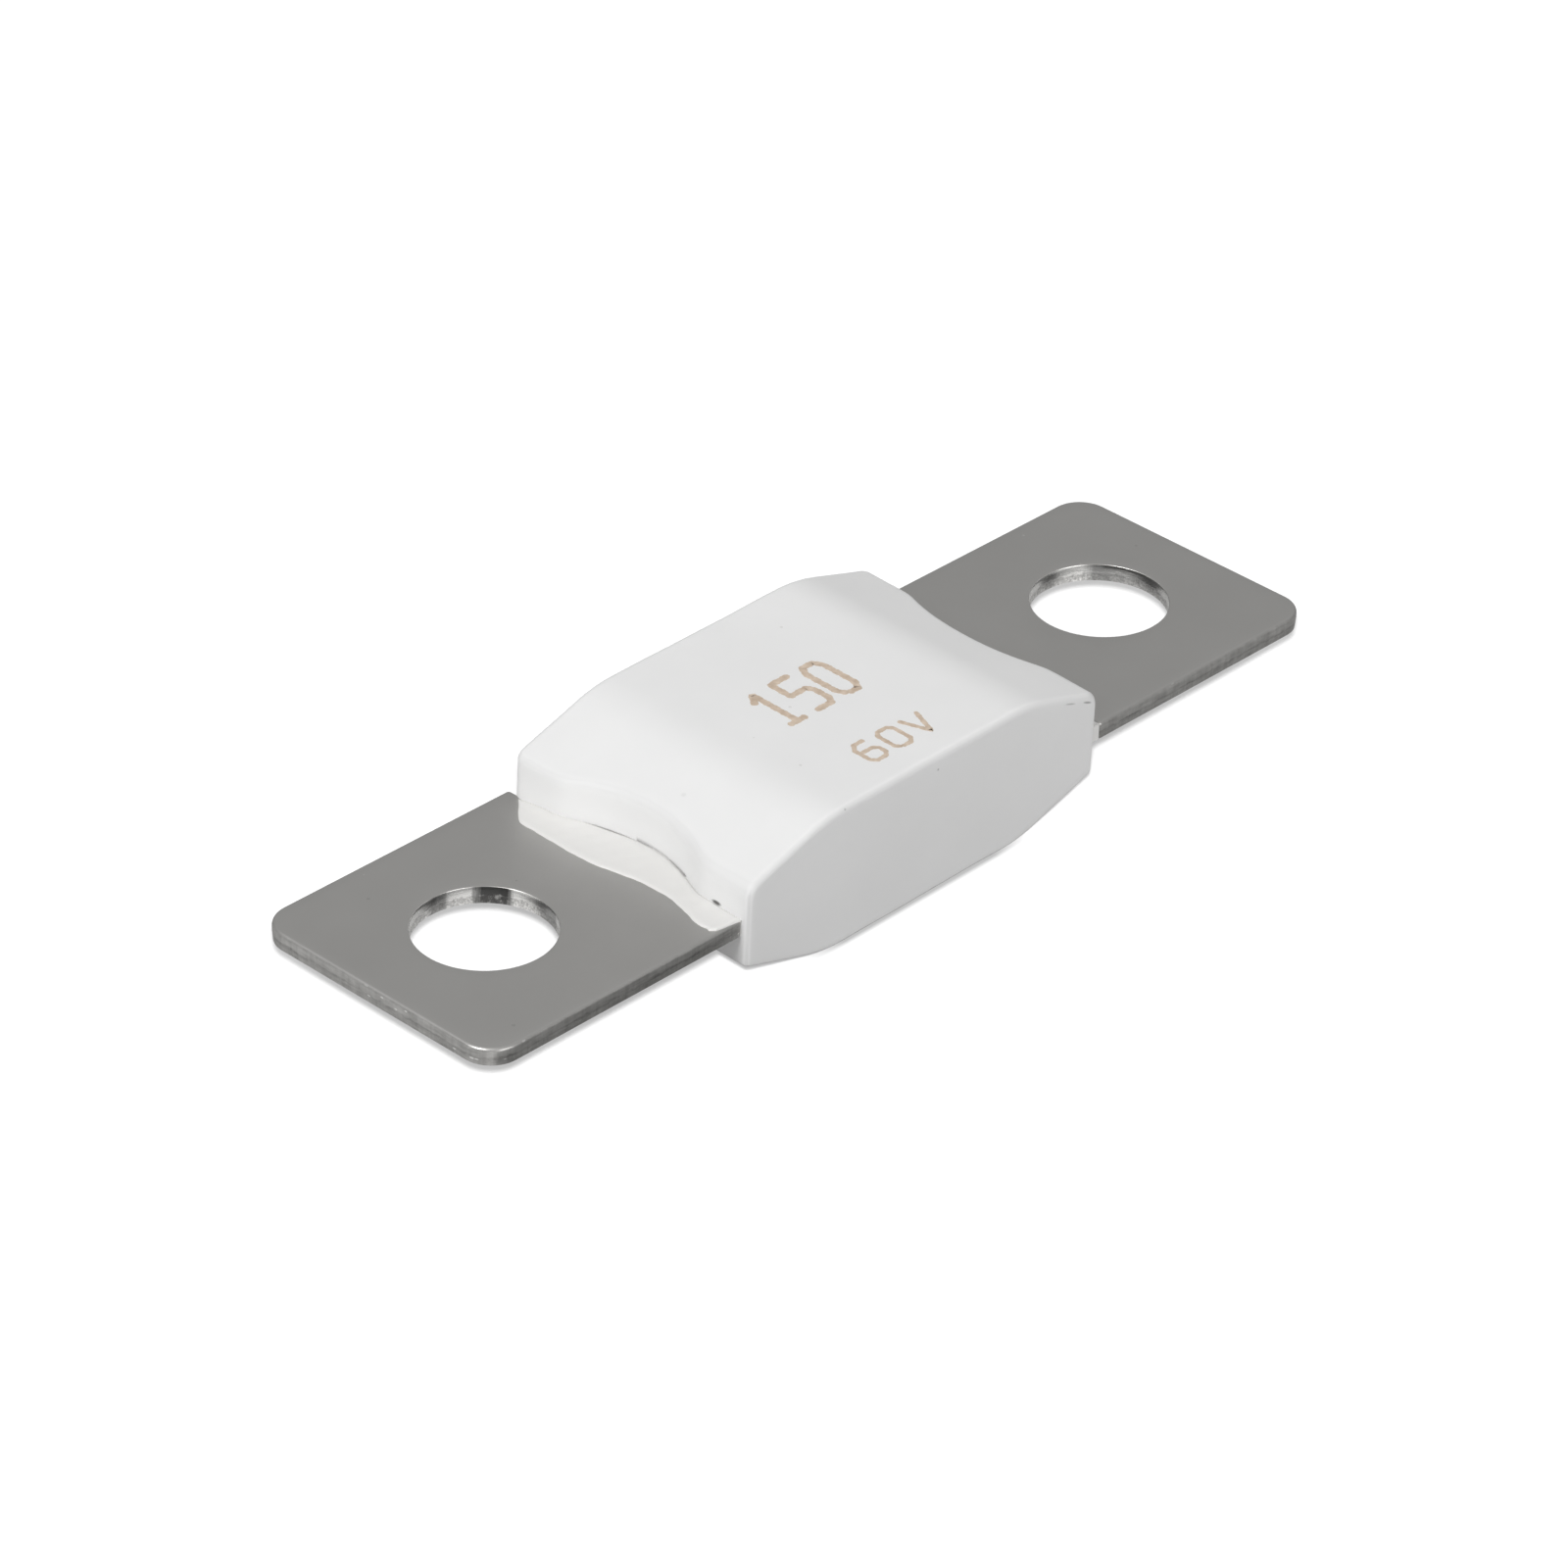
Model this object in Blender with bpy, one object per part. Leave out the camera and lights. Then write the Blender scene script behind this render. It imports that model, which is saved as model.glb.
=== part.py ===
"""Bolt-down strip fuse in a one-piece ceramic sleeve.

Two stamped terminals reach into the sleeve from its ends and a perforated fuse
element is soldered across them inside. Sealing compound closes each mouth.

Frame: +X along the terminals, +Y across them, +Z up. The origin lies under the
middle of the two bolt holes, in the plane that the sleeve stands on.
"""
import math

import bmesh
import bpy
from mathutils import Matrix, Vector

MM = 0.001

# Ceramic sleeve
SLEEVE_LENGTH = 29.50 * MM
SLEEVE_WIDTH = 18.65 * MM
SLEEVE_HEIGHT = 9.38 * MM
END_HEIGHT = 5.34 * MM
CROWN_LENGTH = 16.80 * MM
FOLD_RADIUS = 10.0 * MM
END_EDGE_RADIUS = 0.60 * MM
LONG_EDGE_RADIUS = 0.45 * MM
UPRIGHT_RADIUS = 0.70 * MM
SLEEVE_OFFSET = -0.28 * MM

# Scoop in each end face, which holds the sealing compound
SCOOP_DEPTH = 1.42 * MM
SCOOP_WIDTH = 11.0 * MM
SCOOP_BLEND = 1.50 * MM

# Hollow of the sleeve
CHAMBER_LENGTH = 21.4 * MM
CHAMBER_SIDE_WALL = 3.025 * MM
CHAMBER_WIDTH = SLEEVE_WIDTH - 2.0 * CHAMBER_SIDE_WALL
CHAMBER_WALL = 0.224 * SLEEVE_HEIGHT
MOUTH_CLEARANCE = 0.16 * MM

# Terminals
OVERALL_LENGTH = 68.06 * MM
BOLT_TO_END = 8.53 * MM
BOLT_SPACING = OVERALL_LENGTH - 2.0 * BOLT_TO_END
BOLT_HOLE = 8.40 * MM
TAB_OVERHANG = 0.025 * MM
TAB_WIDTH = SLEEVE_WIDTH + 2.0 * TAB_OVERHANG
TERMINAL_THICKNESS = 1.13 * MM
TERMINAL_LIFT = 0.16 * MM
TERMINAL_TOP = SLEEVE_HEIGHT / 2.0 + TERMINAL_LIFT
TAB_CORNER = 2.0 * MM
SHOULDER_CORNER = 0.25 * MM
LEFT_SHOULDER_GAP = 0.12 * MM
RIGHT_SHOULDER_GAP = 0.42 * MM
NECK_WIDTH = 8.0 * MM
NECK_ROOT = 0.30 * MM
NECK_END_CORNER = 0.60 * MM
DIE_ROLL = 0.18 * MM

# Fuse element and its tin spot
ELEMENT_THICKNESS = 0.35 * MM
ELEMENT_WIDTH = 7.2 * MM
ELEMENT_BRIDGE = 9.0 * MM
ELEMENT_END_GAP = 0.40 * MM
SOLDER_OVERLAP = 2.8 * MM
SOLDER_GAP = 0.20 * MM
PERFORATION = 1.35 * MM
PERFORATION_PITCH = 2.05 * MM
PERFORATIONS = 3
ROW_SPACING = 4.6 * MM
TIN_DIAMETER = 2.3 * MM
TIN_HEIGHT = 0.45 * MM
TIN_HEADROOM = 0.529 * MM
ELEMENT_RISE = (
    SLEEVE_HEIGHT - CHAMBER_WALL - TERMINAL_TOP - 2.0 * SOLDER_GAP
    - ELEMENT_THICKNESS - TIN_HEIGHT - TIN_HEADROOM
)

# End seals
SEAL_GAP = 0.04 * MM
SEAL_THICKNESS = 0.18 * MM
LEFT_SEAL_REACH = 1.93 * MM
RIGHT_SEAL_REACH = 1.60 * MM
SEAL_WAVE = 0.75 * MM
SEAL_WAVE_WIDTH = 2.6 * MM
SEAL_WAVE_PLACE = 3.9 * MM
SEAL_BACK_INSET = 0.45 * MM
SEAL_BACK = TAB_WIDTH / 2.0 - SEAL_BACK_INSET
SEAL_SLANT = 2.6 * MM
SEAL_FRONT_INSET = 0.07 * MM
SEAL_FRONT = TAB_WIDTH / 2.0 - SEAL_FRONT_INSET
SEAL_ROUND = 1.0 * MM

for old in list(bpy.data.objects):
    bpy.data.objects.remove(old, do_unlink=True)


def material(name, colour, roughness, metallic):
    """A Principled material of one colour."""
    mat = bpy.data.materials.new(name)
    mat.use_nodes = True
    shader = mat.node_tree.nodes["Principled BSDF"]
    shader.inputs["Base Color"].default_value = (*colour, 1.0)
    shader.inputs["Roughness"].default_value = roughness
    shader.inputs["Metallic"].default_value = metallic
    mat.diffuse_color = (*colour, 1.0)
    return mat


def add_object(name, mesh, mat):
    """Put a mesh in the scene under a name, with one material."""
    mesh.materials.append(mat)
    obj = bpy.data.objects.new(name, mesh)
    bpy.context.scene.collection.objects.link(obj)
    return obj


def smooth(mesh, degrees):
    """Shade smooth, with sharp edges past an angle."""
    mesh.shade_smooth()
    mesh.set_sharp_from_angle(angle=math.radians(degrees))


def cut(target, cutter):
    """Subtract a cutter, which stays in the file as a hidden wire guide."""
    cutter.hide_render = True
    cutter.display_type = "WIRE"
    mod = target.modifiers.new("cut_" + cutter.name, "BOOLEAN")
    mod.operation = "DIFFERENCE"
    mod.solver = "EXACT"
    mod.object = cutter


def fillet(corners, steps):
    """Round a closed outline: corners are (x, y, radius), turned into short arcs."""
    points = []
    count = len(corners)
    for index in range(count):
        x, y, radius = corners[index]
        here = Vector((x, y))
        before = (Vector(corners[index - 1][:2]) - here).normalized()
        after = (Vector(corners[(index + 1) % count][:2]) - here).normalized()
        opening = before.angle(after)
        if radius <= 0.0 or opening > math.pi - 1e-4:
            points.append(here)
            continue
        run = radius / math.tan(opening / 2.0)
        start = here + before * run
        end = here + after * run
        middle = here + (before + after).normalized() * radius / math.sin(opening / 2.0)
        first = start - middle
        last = end - middle
        turn = first.angle_signed(last)
        for step in range(steps + 1):
            spoke = first.copy()
            spoke.rotate(Matrix.Rotation(-turn * step / steps, 2))
            points.append(middle + spoke)
    return points


def grow(points, amount):
    """Offset a closed anticlockwise outline outwards by an amount."""
    result = []
    count = len(points)
    for index in range(count):
        here = points[index]
        one = (here - points[index - 1]).normalized()
        two = (points[(index + 1) % count] - here).normalized()
        out_one = Vector((one.y, -one.x))
        out_two = Vector((two.y, -two.x))
        mitre = (out_one + out_two) / (1.0 + out_one.dot(out_two))
        result.append(here + mitre * amount)
    return result


def loft(name, sections):
    """Skin closed sections that have equally many points, and cap both ends."""
    bm = bmesh.new()
    rings = [[bm.verts.new(point) for point in section] for section in sections]
    size = len(rings[0])
    for low, high in zip(rings, rings[1:]):
        for index in range(size):
            following = (index + 1) % size
            bm.faces.new((low[index], low[following], high[following], high[index]))
    bm.faces.new(list(reversed(rings[0])))
    bm.faces.new(rings[-1])
    bmesh.ops.recalc_face_normals(bm, faces=bm.faces)
    mesh = bpy.data.meshes.new(name)
    bm.to_mesh(mesh)
    bm.free()
    return mesh


def box(name, low, high):
    """A plain block between two corners."""
    sections = []
    for z in (low[2], high[2]):
        sections.append([
            Vector((low[0], low[1], z)),
            Vector((high[0], low[1], z)),
            Vector((high[0], high[1], z)),
            Vector((low[0], high[1], z)),
        ])
    mesh = loft(name, sections)
    obj = bpy.data.objects.new(name, mesh)
    bpy.context.scene.collection.objects.link(obj)
    return obj


def turned(name, profile, steps):
    """Turn a profile of (radius, height) about Z; its ends are capped flat."""
    sections = []
    for radius, height in profile:
        ring = []
        for step in range(steps):
            angle = 2.0 * math.pi * step / steps
            ring.append(Vector((radius * math.cos(angle), radius * math.sin(angle), height)))
        sections.append(ring)
    return loft(name, sections)


SCOOP_RADIUS = ((SCOOP_WIDTH / 2.0) ** 2 + SCOOP_DEPTH ** 2) / (2.0 * SCOOP_DEPTH)
SCOOP_EDGE = math.sqrt(
    (SCOOP_RADIUS + SCOOP_BLEND) ** 2 - (SCOOP_BLEND - SCOOP_DEPTH + SCOOP_RADIUS) ** 2
)


def scoop(y):
    """Depth of the end face's scoop at a distance y from the sleeve's middle."""
    y = abs(y)
    meet = SCOOP_EDGE * SCOOP_RADIUS / (SCOOP_RADIUS + SCOOP_BLEND)
    if y <= meet:
        return SCOOP_DEPTH - SCOOP_RADIUS + math.sqrt(SCOOP_RADIUS ** 2 - y ** 2)
    if y < SCOOP_EDGE:
        return SCOOP_BLEND - math.sqrt(SCOOP_BLEND ** 2 - (SCOOP_EDGE - y) ** 2)
    return 0.0


def end_face(y):
    """X of the sleeve's end face at a world y, as a distance from the middle."""
    return SLEEVE_LENGTH / 2.0 - scoop(y - SLEEVE_OFFSET)


def edge_inset(distance, radius):
    """Inset of a quarter round at a distance from the face that it runs into."""
    if distance >= radius:
        return 0.0
    return radius - math.sqrt(radius ** 2 - (radius - distance) ** 2)


def sleeve_section(y):
    """Six-sided outline of the sleeve across its length, at one y from its middle."""
    to_side = SLEEVE_WIDTH / 2.0 - abs(y)
    inset_face = edge_inset(to_side, LONG_EDGE_RADIUS)
    slope = (SLEEVE_HEIGHT - END_HEIGHT) / (SLEEVE_LENGTH - CROWN_LENGTH)
    depth = scoop(y) + edge_inset(to_side, UPRIGHT_RADIUS)
    end_x = SLEEVE_LENGTH / 2.0 - depth
    end_z = END_HEIGHT / 2.0 + slope * depth - inset_face * math.hypot(1.0, slope)
    crown_x = CROWN_LENGTH / 2.0 - inset_face * (math.hypot(1.0, slope) - 1.0) / slope
    crown_z = SLEEVE_HEIGHT / 2.0 - inset_face
    corners = [
        (end_x, -end_z, END_EDGE_RADIUS),
        (end_x, end_z, END_EDGE_RADIUS),
        (crown_x, crown_z, FOLD_RADIUS),
        (-crown_x, crown_z, FOLD_RADIUS),
        (-end_x, end_z, END_EDGE_RADIUS),
        (-end_x, -end_z, END_EDGE_RADIUS),
        (-crown_x, -crown_z, FOLD_RADIUS),
        (crown_x, -crown_z, FOLD_RADIUS),
    ]
    place = y + SLEEVE_OFFSET
    middle = SLEEVE_HEIGHT / 2.0
    return [Vector((p.x, place, p.y + middle)) for p in fillet(corners, 5)]


def make_sleeve(mat):
    """Ceramic sleeve: lofted across its width, then hollowed from both ends."""
    half = SLEEVE_WIDTH / 2.0
    steps = 6
    across = 14
    side = []
    for step in range(steps + 1):
        angle = math.pi / 2.0 * step / steps
        side.append(half - UPRIGHT_RADIUS * (1.0 - math.cos(angle)))
    for step in range(across):
        side.append(SCOOP_EDGE * (1.0 - step / across))
    places = [-y for y in side] + [0.0] + list(reversed(side))
    sections = [sleeve_section(y) for y in places]
    mesh = loft("ceramic_body", sections)
    smooth(mesh, 30)
    sleeve = add_object("ceramic_body", mesh, mat)
    chamber = box(
        "chamber_cutter",
        (-CHAMBER_LENGTH / 2.0, SLEEVE_OFFSET - CHAMBER_WIDTH / 2.0, CHAMBER_WALL),
        (CHAMBER_LENGTH / 2.0, SLEEVE_OFFSET + CHAMBER_WIDTH / 2.0, SLEEVE_HEIGHT - CHAMBER_WALL),
    )
    mouth_half = NECK_WIDTH / 2.0 + MOUTH_CLEARANCE
    mouth = box(
        "mouth_cutter",
        (-SLEEVE_LENGTH, -mouth_half, TERMINAL_TOP - TERMINAL_THICKNESS - MOUTH_CLEARANCE),
        (SLEEVE_LENGTH, mouth_half, TERMINAL_TOP + MOUTH_CLEARANCE),
    )
    cut(sleeve, chamber)
    cut(sleeve, mouth)
    return sleeve


ELEMENT_HALF = CHAMBER_LENGTH / 2.0 - ELEMENT_END_GAP
NECK_END = ELEMENT_HALF - SOLDER_OVERLAP


def terminal_outline(shoulder_gap):
    """Plan of a terminal on the +X side: bolt tab, shoulders and neck."""
    shoulder = SLEEVE_LENGTH / 2.0 + shoulder_gap
    tab = TAB_WIDTH / 2.0
    neck = NECK_WIDTH / 2.0
    end = OVERALL_LENGTH / 2.0
    corners = [
        (NECK_END, -neck, NECK_END_CORNER),
        (shoulder, -neck, NECK_ROOT),
        (shoulder, -tab, SHOULDER_CORNER),
        (end, -tab, TAB_CORNER),
        (end, tab, TAB_CORNER),
        (shoulder, tab, SHOULDER_CORNER),
        (shoulder, neck, NECK_ROOT),
        (NECK_END, neck, NECK_END_CORNER),
    ]
    return fillet(corners, 8)


def make_terminal(name, side, shoulder_gap, mat):
    """Stamped terminal, rolled over along its upper edges as the die leaves it."""
    outline = terminal_outline(shoulder_gap)
    bottom = TERMINAL_TOP - TERMINAL_THICKNESS
    levels = [(bottom, 0.0)]
    for step in range(4):
        angle = math.pi / 2.0 * step / 3
        levels.append((
            TERMINAL_TOP - DIE_ROLL * (1.0 - math.sin(angle)),
            DIE_ROLL * (1.0 - math.cos(angle)),
        ))
    sections = []
    for height, inset in levels:
        sections.append([Vector((p.x, p.y, height)) for p in grow(outline, -inset)])
    mesh = loft(name, sections)
    smooth(mesh, 35)
    terminal = add_object(name, mesh, mat)
    profile = [(BOLT_HOLE / 2.0, bottom - 2.0 * TERMINAL_THICKNESS)]
    for step in range(4):
        angle = math.pi / 2.0 * step / 3
        profile.append((
            BOLT_HOLE / 2.0 + DIE_ROLL * (1.0 - math.cos(angle)),
            TERMINAL_TOP - DIE_ROLL * (1.0 - math.sin(angle)),
        ))
    profile.append((BOLT_HOLE / 2.0 + DIE_ROLL, TERMINAL_TOP + TERMINAL_THICKNESS))
    punch = bpy.data.objects.new(name + "_punch", turned(name + "_punch", profile, 72))
    bpy.context.scene.collection.objects.link(punch)
    punch.location = (BOLT_SPACING / 2.0, 0.0, 0.0)
    punch.parent = terminal
    cut(terminal, punch)
    terminal.rotation_euler = (0.0, 0.0, 0.0 if side > 0 else math.pi)
    return terminal


def element_height(x):
    """Height of the element's middle line: flat on the necks, raised between them."""
    base = TERMINAL_TOP + SOLDER_GAP + ELEMENT_THICKNESS / 2.0
    flat = ELEMENT_BRIDGE / 2.0
    if abs(x) >= flat:
        return base
    return base + ELEMENT_RISE * (0.5 + 0.5 * math.cos(math.pi * x / flat))


def make_element(mat):
    """Perforated fuse element, a thin strip that bows up between the terminals."""
    steps = 30
    upper = []
    lower = []
    marks = [-ELEMENT_HALF]
    for step in range(steps + 1):
        marks.append(ELEMENT_BRIDGE * (step / steps - 0.5))
    marks.append(ELEMENT_HALF)
    for x in marks:
        ahead = element_height(x + 1e-5) - element_height(x - 1e-5)
        lean = math.atan2(ahead, 2e-5)
        across = Vector((-math.sin(lean), math.cos(lean))) * ELEMENT_THICKNESS / 2.0
        middle = Vector((x, element_height(x)))
        upper.append(middle + across)
        lower.append(middle - across)
    outline = lower + list(reversed(upper))
    sections = []
    for y in (-ELEMENT_WIDTH / 2.0, ELEMENT_WIDTH / 2.0):
        sections.append([Vector((p.x, y, p.y)) for p in outline])
    mesh = loft("fuse_element", sections)
    smooth(mesh, 30)
    element = add_object("fuse_element", mesh, mat)
    for row in (-1, 1):
        for index in range(PERFORATIONS):
            y = PERFORATION_PITCH * (index - (PERFORATIONS - 1) / 2.0)
            name = "perforation_%s_%d" % ("a" if row < 0 else "b", index + 1)
            low = TERMINAL_TOP - TERMINAL_THICKNESS
            high = TERMINAL_TOP + ELEMENT_RISE + 3.0 * TERMINAL_THICKNESS
            radius = PERFORATION / 2.0
            pin = bpy.data.objects.new(name, turned(name, [(radius, low), (radius, high)], 24))
            bpy.context.scene.collection.objects.link(pin)
            pin.location = (row * ROW_SPACING / 2.0, y, 0.0)
            cut(element, pin)
    return element


def make_tin_spot(mat):
    """Low-melting tin spot, a flat drop on the crest of the element."""
    seat = element_height(0.0) + ELEMENT_THICKNESS / 2.0 + SOLDER_GAP
    profile = []
    steps = 6
    for step in range(steps):
        angle = math.pi / 2.0 * step / steps
        profile.append((TIN_DIAMETER / 2.0 * math.cos(angle), seat + TIN_HEIGHT * math.sin(angle)))
    mesh = turned("tin_spot", profile, 32)
    smooth(mesh, 40)
    return add_object("tin_spot", mesh, mat)


def seal_run(y, reach):
    """How far the compound runs out on the tab at one y of the -X end."""
    wave = math.exp(-((y + SEAL_WAVE_PLACE) / SEAL_WAVE_WIDTH) ** 2)
    run = reach - SEAL_WAVE * wave
    run *= min(1.0, (SEAL_BACK - y) / SEAL_SLANT)
    to_front = min(1.0, (y + SEAL_FRONT + SEAL_THICKNESS) / SEAL_ROUND)
    return run * math.sqrt(1.0 - (1.0 - to_front) ** 2)


def make_seal(name, side, reach, shoulder_gap, mat):
    """Sealing compound: it fills the scoop beside the neck and spreads on the tab."""
    top = TERMINAL_TOP + SEAL_GAP + SEAL_THICKNESS
    bottom = TERMINAL_TOP - TERMINAL_THICKNESS - SEAL_GAP - SEAL_THICKNESS
    turn = 1.0 if side < 0 else -1.0
    count = 44
    sections = []
    for step in range(count + 1):
        local = -SEAL_FRONT + (SEAL_FRONT + SEAL_BACK) * step / count
        inner = end_face(turn * local) + SEAL_GAP
        outer = max(SLEEVE_LENGTH / 2.0 + seal_run(local, reach), inner + SEAL_THICKNESS)
        bead = min(SEAL_THICKNESS, (outer - inner) / 2.0)
        arc = []
        for part in range(5):
            angle = math.pi / 2.0 * part / 4
            out = outer - bead * (1.0 - math.cos(angle))
            arc.append((out, SEAL_THICKNESS * (1.0 - math.sin(angle))))
        profile = [(inner, bottom)]
        profile += [(x, bottom + drop) for x, drop in reversed(arc)]
        profile += [(x, top - drop) for x, drop in arc]
        profile += [(inner, top)]
        sections.append([Vector((-turn * x, turn * local, z)) for x, z in profile])
    mesh = loft(name, sections)
    smooth(mesh, 40)
    seal = add_object(name, mesh, mat)
    room = grow(terminal_outline(shoulder_gap), SEAL_GAP)
    levels = (TERMINAL_TOP - TERMINAL_THICKNESS - SEAL_GAP, TERMINAL_TOP + SEAL_GAP)
    sections = []
    for height in levels:
        sections.append([Vector((-turn * p.x, -turn * p.y, height)) for p in room])
    cutter = bpy.data.objects.new(name + "_cutter", loft(name + "_cutter", sections))
    bpy.context.scene.collection.objects.link(cutter)
    cut(seal, cutter)
    return seal


ceramic = material("white_ceramic", (0.80, 0.80, 0.79), 0.55, 0.0)
tinned = material("tinned_copper", (0.50, 0.49, 0.47), 0.38, 1.0)
copper = material("bare_copper", (0.85, 0.45, 0.30), 0.35, 1.0)
tin = material("tin", (0.72, 0.72, 0.70), 0.30, 1.0)
compound = material("sealing_compound", (0.82, 0.81, 0.77), 0.45, 0.0)

root = bpy.data.objects.new("strip_fuse", None)
bpy.context.scene.collection.objects.link(root)

pieces = [
    make_sleeve(ceramic),
    make_terminal("left_terminal", -1, LEFT_SHOULDER_GAP, tinned),
    make_terminal("right_terminal", 1, RIGHT_SHOULDER_GAP, tinned),
    make_element(copper),
    make_tin_spot(tin),
    make_seal("left_end_seal", -1, LEFT_SEAL_REACH, LEFT_SHOULDER_GAP, compound),
    make_seal("right_end_seal", 1, RIGHT_SEAL_REACH, RIGHT_SHOULDER_GAP, compound),
]
for piece in pieces:
    piece.parent = root
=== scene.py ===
"""Looks of a bolt-down strip fuse: one-piece ceramic sleeve, two stamped terminals,
sealing compound at both mouths and rating figures on the sleeve's top flat."""
import math

import bmesh
import bpy
import numpy as np
from mathutils import Matrix, Vector


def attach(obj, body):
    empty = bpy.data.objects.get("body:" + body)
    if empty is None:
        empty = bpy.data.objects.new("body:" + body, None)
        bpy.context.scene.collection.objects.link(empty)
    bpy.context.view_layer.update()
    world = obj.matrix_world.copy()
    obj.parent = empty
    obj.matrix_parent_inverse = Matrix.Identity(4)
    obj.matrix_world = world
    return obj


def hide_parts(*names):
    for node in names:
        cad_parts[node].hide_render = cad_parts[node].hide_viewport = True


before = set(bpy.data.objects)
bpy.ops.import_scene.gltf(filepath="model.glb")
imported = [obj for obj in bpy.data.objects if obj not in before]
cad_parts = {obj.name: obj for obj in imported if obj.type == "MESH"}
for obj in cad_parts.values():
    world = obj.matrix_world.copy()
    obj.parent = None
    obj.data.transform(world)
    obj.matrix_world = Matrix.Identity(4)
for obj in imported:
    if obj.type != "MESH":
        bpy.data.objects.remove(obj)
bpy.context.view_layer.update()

MM = 0.001

# Strip that the terminals are stamped from, in millimetres; heights count from its top
STRIP_TOP = 4.85
STRIP_THICKNESS = 1.13
TAB_HALF = 9.35
TAB_END = 34.03
TAB_CORNER = 2.0
HOLE_X = 25.5
HOLE_RADIUS = 4.2
NECK_HALF = 4.0
NECK_END = 7.5
NECK_CORNER = 0.6
NECK_ROOT = 0.3
SHOULDER_CORNER = 0.25
SHOULDER = {-1: 14.60, 1: 15.12}
DIE_ROLL = 0.20
DIE_ROLL_DEPTH = 0.24
HOLE_ROLL = 0.3
# Cut edge below the die roll, as insets and heights
LAND_FOOT = (0.0, -0.55)
BREAK_TOP = (0.01, -0.62)
BREAK_TAPER = 0.05
LOWER_CHAMFER = 0.02

# Sleeve, as it sits on the terminals: a little raised at the back and turned to the left
SLEEVE_LENGTH = 29.48
SLEEVE_HALF = 9.33
SLEEVE_HEIGHT = 9.38
END_HEIGHT = 5.34
CROWN_LENGTH = 16.82
FOLD_RADIUS = 10.0
END_EDGE = (0.48, 1.08)
LOWER_END_EDGE = 0.28
LONG_EDGE = 0.38
LOWER_LONG_EDGE = 0.22
UPRIGHT = {-1: (0.70, 0.38), 1: (0.70, 0.52)}
SIDE_CAP_INSET = 0.25
SLEEVE_CENTRE = (0.02, -0.29, -0.16)
SLEEVE_ROLL = 1.63
SLEEVE_YAW = 0.80
SCOOP_DEPTH = 1.42
SCOOP_WIDTH = 11.0
SCOOP_BLEND = 2.80
CHAMBER = (21.4, 12.6, 5.18)
MOUTH = (4.16, 0.16)


def turn_matrix(roll, yaw):
    """Rotation by the roll about X and then by the yaw about Z."""
    r, w = math.radians(roll), math.radians(yaw)
    about_x = np.array([[1, 0, 0], [0, math.cos(r), -math.sin(r)], [0, math.sin(r), math.cos(r)]])
    about_z = np.array([[math.cos(w), -math.sin(w), 0], [math.sin(w), math.cos(w), 0], [0, 0, 1]])
    return about_z @ about_x


SLEEVE_TURN = turn_matrix(SLEEVE_ROLL, SLEEVE_YAW)


def seat(points):
    """Sleeve coordinates to the strip's: shifted to the sleeve's centre, then turned about the strip's."""
    return (points + np.array(SLEEVE_CENTRE)) @ SLEEVE_TURN.T


def make_mesh(name, points, faces):
    """Mesh of points (millimetres above the strip's top) and faces, with its normals outwards."""
    mesh = bpy.data.meshes.new(name)
    placed = (np.asarray(points).reshape(-1, 3) + np.array([0.0, 0.0, STRIP_TOP])) * MM
    mesh.from_pydata(placed.tolist(), [], faces)
    tidy = bmesh.new()
    tidy.from_mesh(mesh)
    bmesh.ops.remove_doubles(tidy, verts=tidy.verts, dist=2e-8)
    bmesh.ops.recalc_face_normals(tidy, faces=tidy.faces)
    tidy.to_mesh(mesh)
    tidy.free()
    return mesh


def loop_faces(rows, count, ring=False, start=0):
    """Quads between neighbouring closed loops of equally many points; ring joins the last to the first."""
    here = np.arange(count)
    following = (here + 1) % count
    low = np.arange(rows if ring else rows - 1)
    high = (low + 1) % rows
    low, high = low[:, None] * count, high[:, None] * count
    quads = np.stack([low + here, low + following, high + following, high + here], -1)
    faces = (quads.reshape(-1, 4) + start).tolist()
    if not ring:
        faces.append((here[::-1] + start).tolist())
        faces.append((here + (rows - 1) * count + start).tolist())
    return faces


def shells(name, parts, sharp):
    """One mesh of several closed shells, each a stack of closed loops with flat caps."""
    faces = []
    start = 0
    for loops in parts:
        rows, count = loops.shape[:2]
        faces += loop_faces(rows, count, start=start)
        start += rows * count
    points = np.concatenate([loops.reshape(-1, 3) for loops in parts])
    mesh = make_mesh(name, points, faces)
    return piece(name, mesh, sharp)


def add(name, data):
    """Object with the given data, put in the scene."""
    obj = bpy.data.objects.new(name, data)
    bpy.context.scene.collection.objects.link(obj)
    return obj


def piece(name, mesh, sharp):
    """Object at the origin with smooth shading, and edges past the sharp angle left crisp."""
    mesh.shade_smooth()
    mesh.set_sharp_from_angle(angle=math.radians(sharp))
    return add(name, mesh)


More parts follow.
